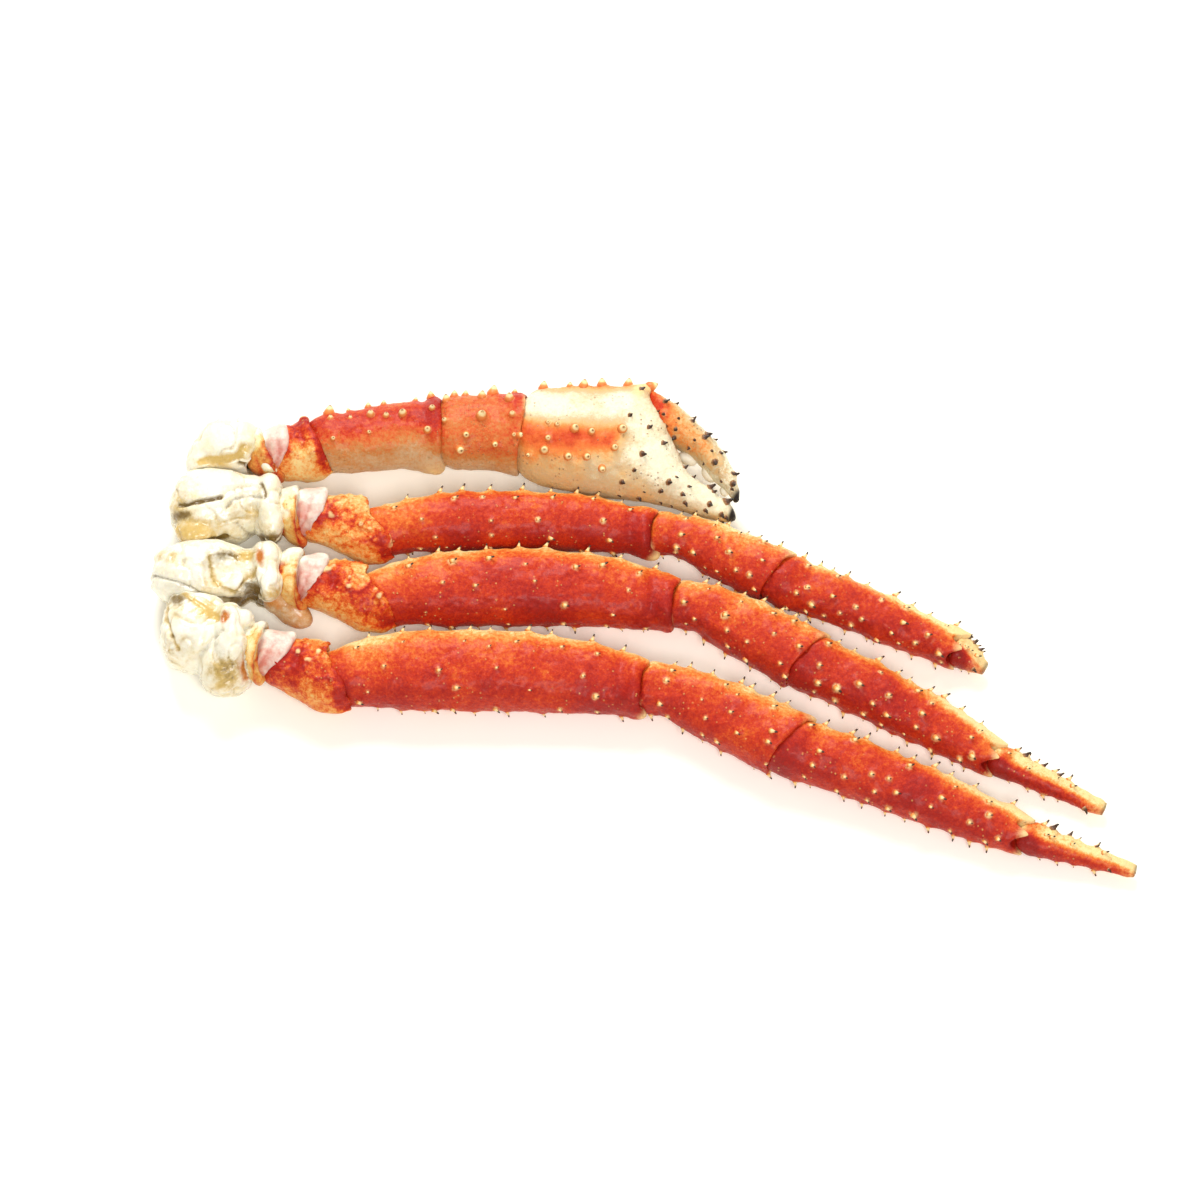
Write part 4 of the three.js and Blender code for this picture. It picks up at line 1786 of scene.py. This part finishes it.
CLAW_COXA = Coxa(
    "claw",
    700,
    (
        Lump((-170, 77, 22), (8, 2.6, 4), -45),
        Lump((-178, 84, 24), (7, 4, 5), 10),
    ),
    (
        Crease(((-199, 89), (-190, 90), (-181, 92), (-179, 96)), 2.0, -0.8, stain=1.0),
        Crease(((-181, 88), (-174, 86), (-171, 81), (-163, 83)), 1.0, -1.6, deep=1.0),
        Crease(((-173, 101), (-170, 96), (-167, 92)), 0.9, -0.8, rust=0.9),
        Crease(((-188, 109), (-184, 105), (-183, 101)), 0.6, -0.5, deep=0.35),
        Patch((-207, 97), (2, 2), -0.3, deep=0.45),
        Patch((-192, 88), (9, 3), 0.4, stain=0.5),
        Patch((-178, 95), (6, 4), -0.8, stain=0.5),
    ),
)
LEG1_COXA = Coxa(
    "leg1",
    720,
    (
        Lump((-166, 50.5, 25), (5.5, 14, 8)),
        Lump((-199, 44, 22), (10, 8, 7)),
    ),
    (
        Crease(((-208, 67), (-199, 69), (-189, 71)), 1.1, -1.8, deep=1.1),
        Crease(((-189, 71), (-184, 75), (-176, 77)), 0.9, -0.8, deep=0.3),
        Crease(((-186, 66), (-183, 70), (-176, 72), (-171, 71)), 1.0, -0.9, deep=0.45),
        Patch((-179, 62), (8, 7), -2.4, stain=0.25),
        Crease(((-181, 57), (-176, 52), (-173, 51)), 0.9, -0.7, deep=0.4),
        Crease(((-171, 78), (-169, 74), (-169, 71)), 1.0, -1.2, deep=0.95),
        Patch((-168, 55), (5, 5), 0.2, stain=0.4),
        Patch((-201, 54), (10, 7), 0.9, stain=1.0),
        Patch((-207, 62), (5, 2.4), -0.8, deep=1.0),
        Crease(((-199, 48), (-191, 50), (-186, 51)), 1.0, -1.2, deep=1.0),
        Patch((-208, 72), (8, 9), 0.0, stain=0.4),
        # Dark brown band in the gap towards the leg 2 coxa: painted shade between the parts.
        Crease(((-171, 50), (-163, 50), (-157, 49)), 3.2, -1.0, deep=1.0, rust=0.7),
    ),
)
LEG2_COXA = Coxa(
    "leg2",
    740,
    (
        Lump((-167, 16, 27), (7, 10, 8)),
        Lump((-181, 17, 27), (5.5, 6.5, 3.5)),
    ),
    (
        Crease(((-220, 32), (-208, 29), (-199, 24), (-192, 20), (-181, 19)), 0.8, -1.2, deep=0.5),
        Crease(((-221, 27), (-209, 24), (-200, 19)), 1.6, 0.8),
        Patch((-183, 33), (11, 11), -3.0, stain=0.4),
        Patch((-181, 29), (5, 6.5), 2.2, stain=-0.3),
        Crease(
            ((-193, 42), (-191, 32), (-187, 25), (-182, 23), (-177, 29), (-174, 36)), 1.0, -1.0,
            stain=0.6, deep=0.35,
        ),
        Patch((-185, 43), (6, 2.8), -1.0, deep=0.95),
        Patch((-171, 42), (3, 5), -0.8, rust=1.1),
        Patch((-177, 43), (4, 3), 0.0, stain=0.9),
        Patch((-165, 22), (6, 4), 0.2, stain=0.7),
        Patch((-174, 24), (3, 5), -2.0, deep=0.9),
        # Dark brown band in the gap towards the leg 3 coxa: painted shade between the parts.
        Crease(((-181, 18), (-174, 19), (-168, 15), (-160, 13)), 3.0, -1.5, deep=1.2, rust=0.5),
    ),
)
LEG3_COXA = Coxa(
    "leg3",
    760,
    (
        Lump((-183, -14, 29.5), (7, 10.5, 8.5)),
        Lump((-180, -3, 28), (8, 5.5, 5.5)),
        Lump((-187, -26, 20), (8, 9, 8)),
    ),
    (
        Patch((-208, 21), (4.8, 3), -1.0, deep=0.95),
        Crease(((-212, 20), (-213, 10), (-209, 0), (-207, -5)), 1.0, -1.0, stain=0.6, deep=0.3),
        Crease(((-206, 24), (-199, 20), (-192, 14), (-189, 10)), 1.0, -0.9, stain=0.9),
        Patch((-195, 15), (8, 6), 0.0, stain=0.6),
        Patch((-186, 12), (2.8, 4.2), -1.6, rust=1.2, deep=0.3),
        Patch((-185, -14), (5.5, 8), 0.3, stain=1.2, deep=0.5, rust=0.3),
        Crease(((-197, -8), (-191, 0), (-187, 5)), 1.1, -1.4, deep=0.3),
        Patch((-175.5, -13), (3.6, 11), -1.8, rust=1.0),
        Patch((-190, -24), (14, 6), 0.0, stain=0.3),
        Patch((-183, 0), (6, 9), 0.0, stain=-0.6),
    ),
)


# ---------------------------------------------------------------- studio


@dataclass(frozen=True)
class Lamp:
    """A square soft light that faces the middle of the cluster.

    Attributes:
        name: Name of the light.
        place: Its place in metres.
        width: Length of its sides in metres.
        power: Power in watts.
    """

    name: str
    place: tuple[float, float, float]
    width: float
    power: float

    def build(self) -> None:
        """Adds the light to the scene."""
        lamp = bpy.data.lights.new(self.name, "AREA")
        lamp.size = self.width
        lamp.energy = self.power
        holder = bpy.data.objects.new(self.name, lamp)
        bpy.context.scene.collection.objects.link(holder)
        holder.location = self.place
        holder.rotation_euler = (-holder.location).to_track_quat("-Z", "Y").to_euler()


@dataclass(frozen=True)
class Studio:
    """Pale floor, soft light and the camera.

    Attributes:
        elevation: Camera's angle above the horizon in degrees.
        distance: Camera's distance from its aim in metres.
        view_width: Width of the view at the aim, as a share of the cluster's length.
        aim: Aim point as shares of the cluster's length, width and height, from its middle on the floor.
        lamps: The lights.
        sky: Colour of the light from all round.
        sky_strength: Strength of that light.
        floor_half: Half the width of the floor in metres.
        floor_tints: The two colours that the floor drifts between.
        floor_glow: Colour of the light that it gives itself.
        floor_glow_strength: Strength of that light.
    """

    elevation: float = 65.0
    distance: float = 3.2
    view_width: float = 1.221
    aim: tuple[float, float, float] = (-0.041, 0.054, 0.4)
    lamps: tuple[Lamp, ...] = (
        Lamp("key", (-0.25, 1.5, 1.5), 1.0, 46.0),
        Lamp("front", (0.2, -1.1, 1.8), 0.8, 29.0),
    )
    sky: Colour = (1, 0.975, 0.94)
    sky_strength: float = 0.42
    floor_half: float = 4.0
    floor_tints: tuple[Colour, Colour] = ((0.95, 0.93, 0.85), (0.96, 0.945, 0.87))
    floor_glow: Colour = (1.0, 0.955, 0.87)
    floor_glow_strength: float = 0.12

    def build(self) -> None:
        """Builds the floor, the lights and the camera."""
        self.floor()
        for lamp in self.lamps:
            lamp.build()
        world = bpy.data.worlds.new("studio")
        world.use_nodes = True
        background = world.node_tree.nodes["Background"]
        background.inputs["Color"].default_value = (*self.sky, 1)
        background.inputs["Strength"].default_value = self.sky_strength
        bpy.context.scene.world = world
        bpy.context.scene.view_settings.view_transform = "Standard"
        self.camera()

    def camera(self) -> None:
        """Builds the camera, which looks along the cluster's width and down."""
        low, high = CAD_BOX
        size = high - low
        target = Vector(share * side for share, side in zip(self.aim, size))
        angle = math.radians(self.elevation)
        lens = bpy.data.cameras.new("camera")
        camera = bpy.data.objects.new("camera", lens)
        bpy.context.scene.collection.objects.link(camera)
        camera.location = target + self.distance * Vector((0, -math.cos(angle), math.sin(angle)))
        camera.rotation_euler = (math.pi / 2 - angle, 0, 0)
        lens.lens = lens.sensor_width * self.distance / (self.view_width * size.x)
        lens.clip_end = 50
        bpy.context.scene.camera = camera

    def floor(self) -> None:
        """Builds the pale floor."""
        shape = bmesh.new()
        bmesh.ops.create_grid(shape, x_segments=8, y_segments=8, size=self.floor_half)
        mesh = bpy.data.meshes.new("floor")
        shape.to_mesh(mesh)
        shape.free()
        graph = Graph("floor")
        material = graph.shade({
            "Base Color": graph.mix(graph.noise(0.4, detail=2), *self.floor_tints),
            "Roughness": 0.9,
            "Emission Color": self.floor_glow,
            "Emission Strength": self.floor_glow_strength,
        })
        mesh.materials.append(material)
        link("floor", mesh)


def main() -> None:
    """Builds the cluster and its studio."""
    logging.basicConfig(level=logging.INFO, format="%(name)s %(message)s")
    for piece in (CLAW_COXA, LEG1_COXA, LEG2_COXA, LEG3_COXA, LEG2_FLAP):
        piece.build()
    for leg in WALKING_LEGS:
        leg.build()
    ClawLimb().build()
    Studio().build()


if __name__ == "__main__":
    main()
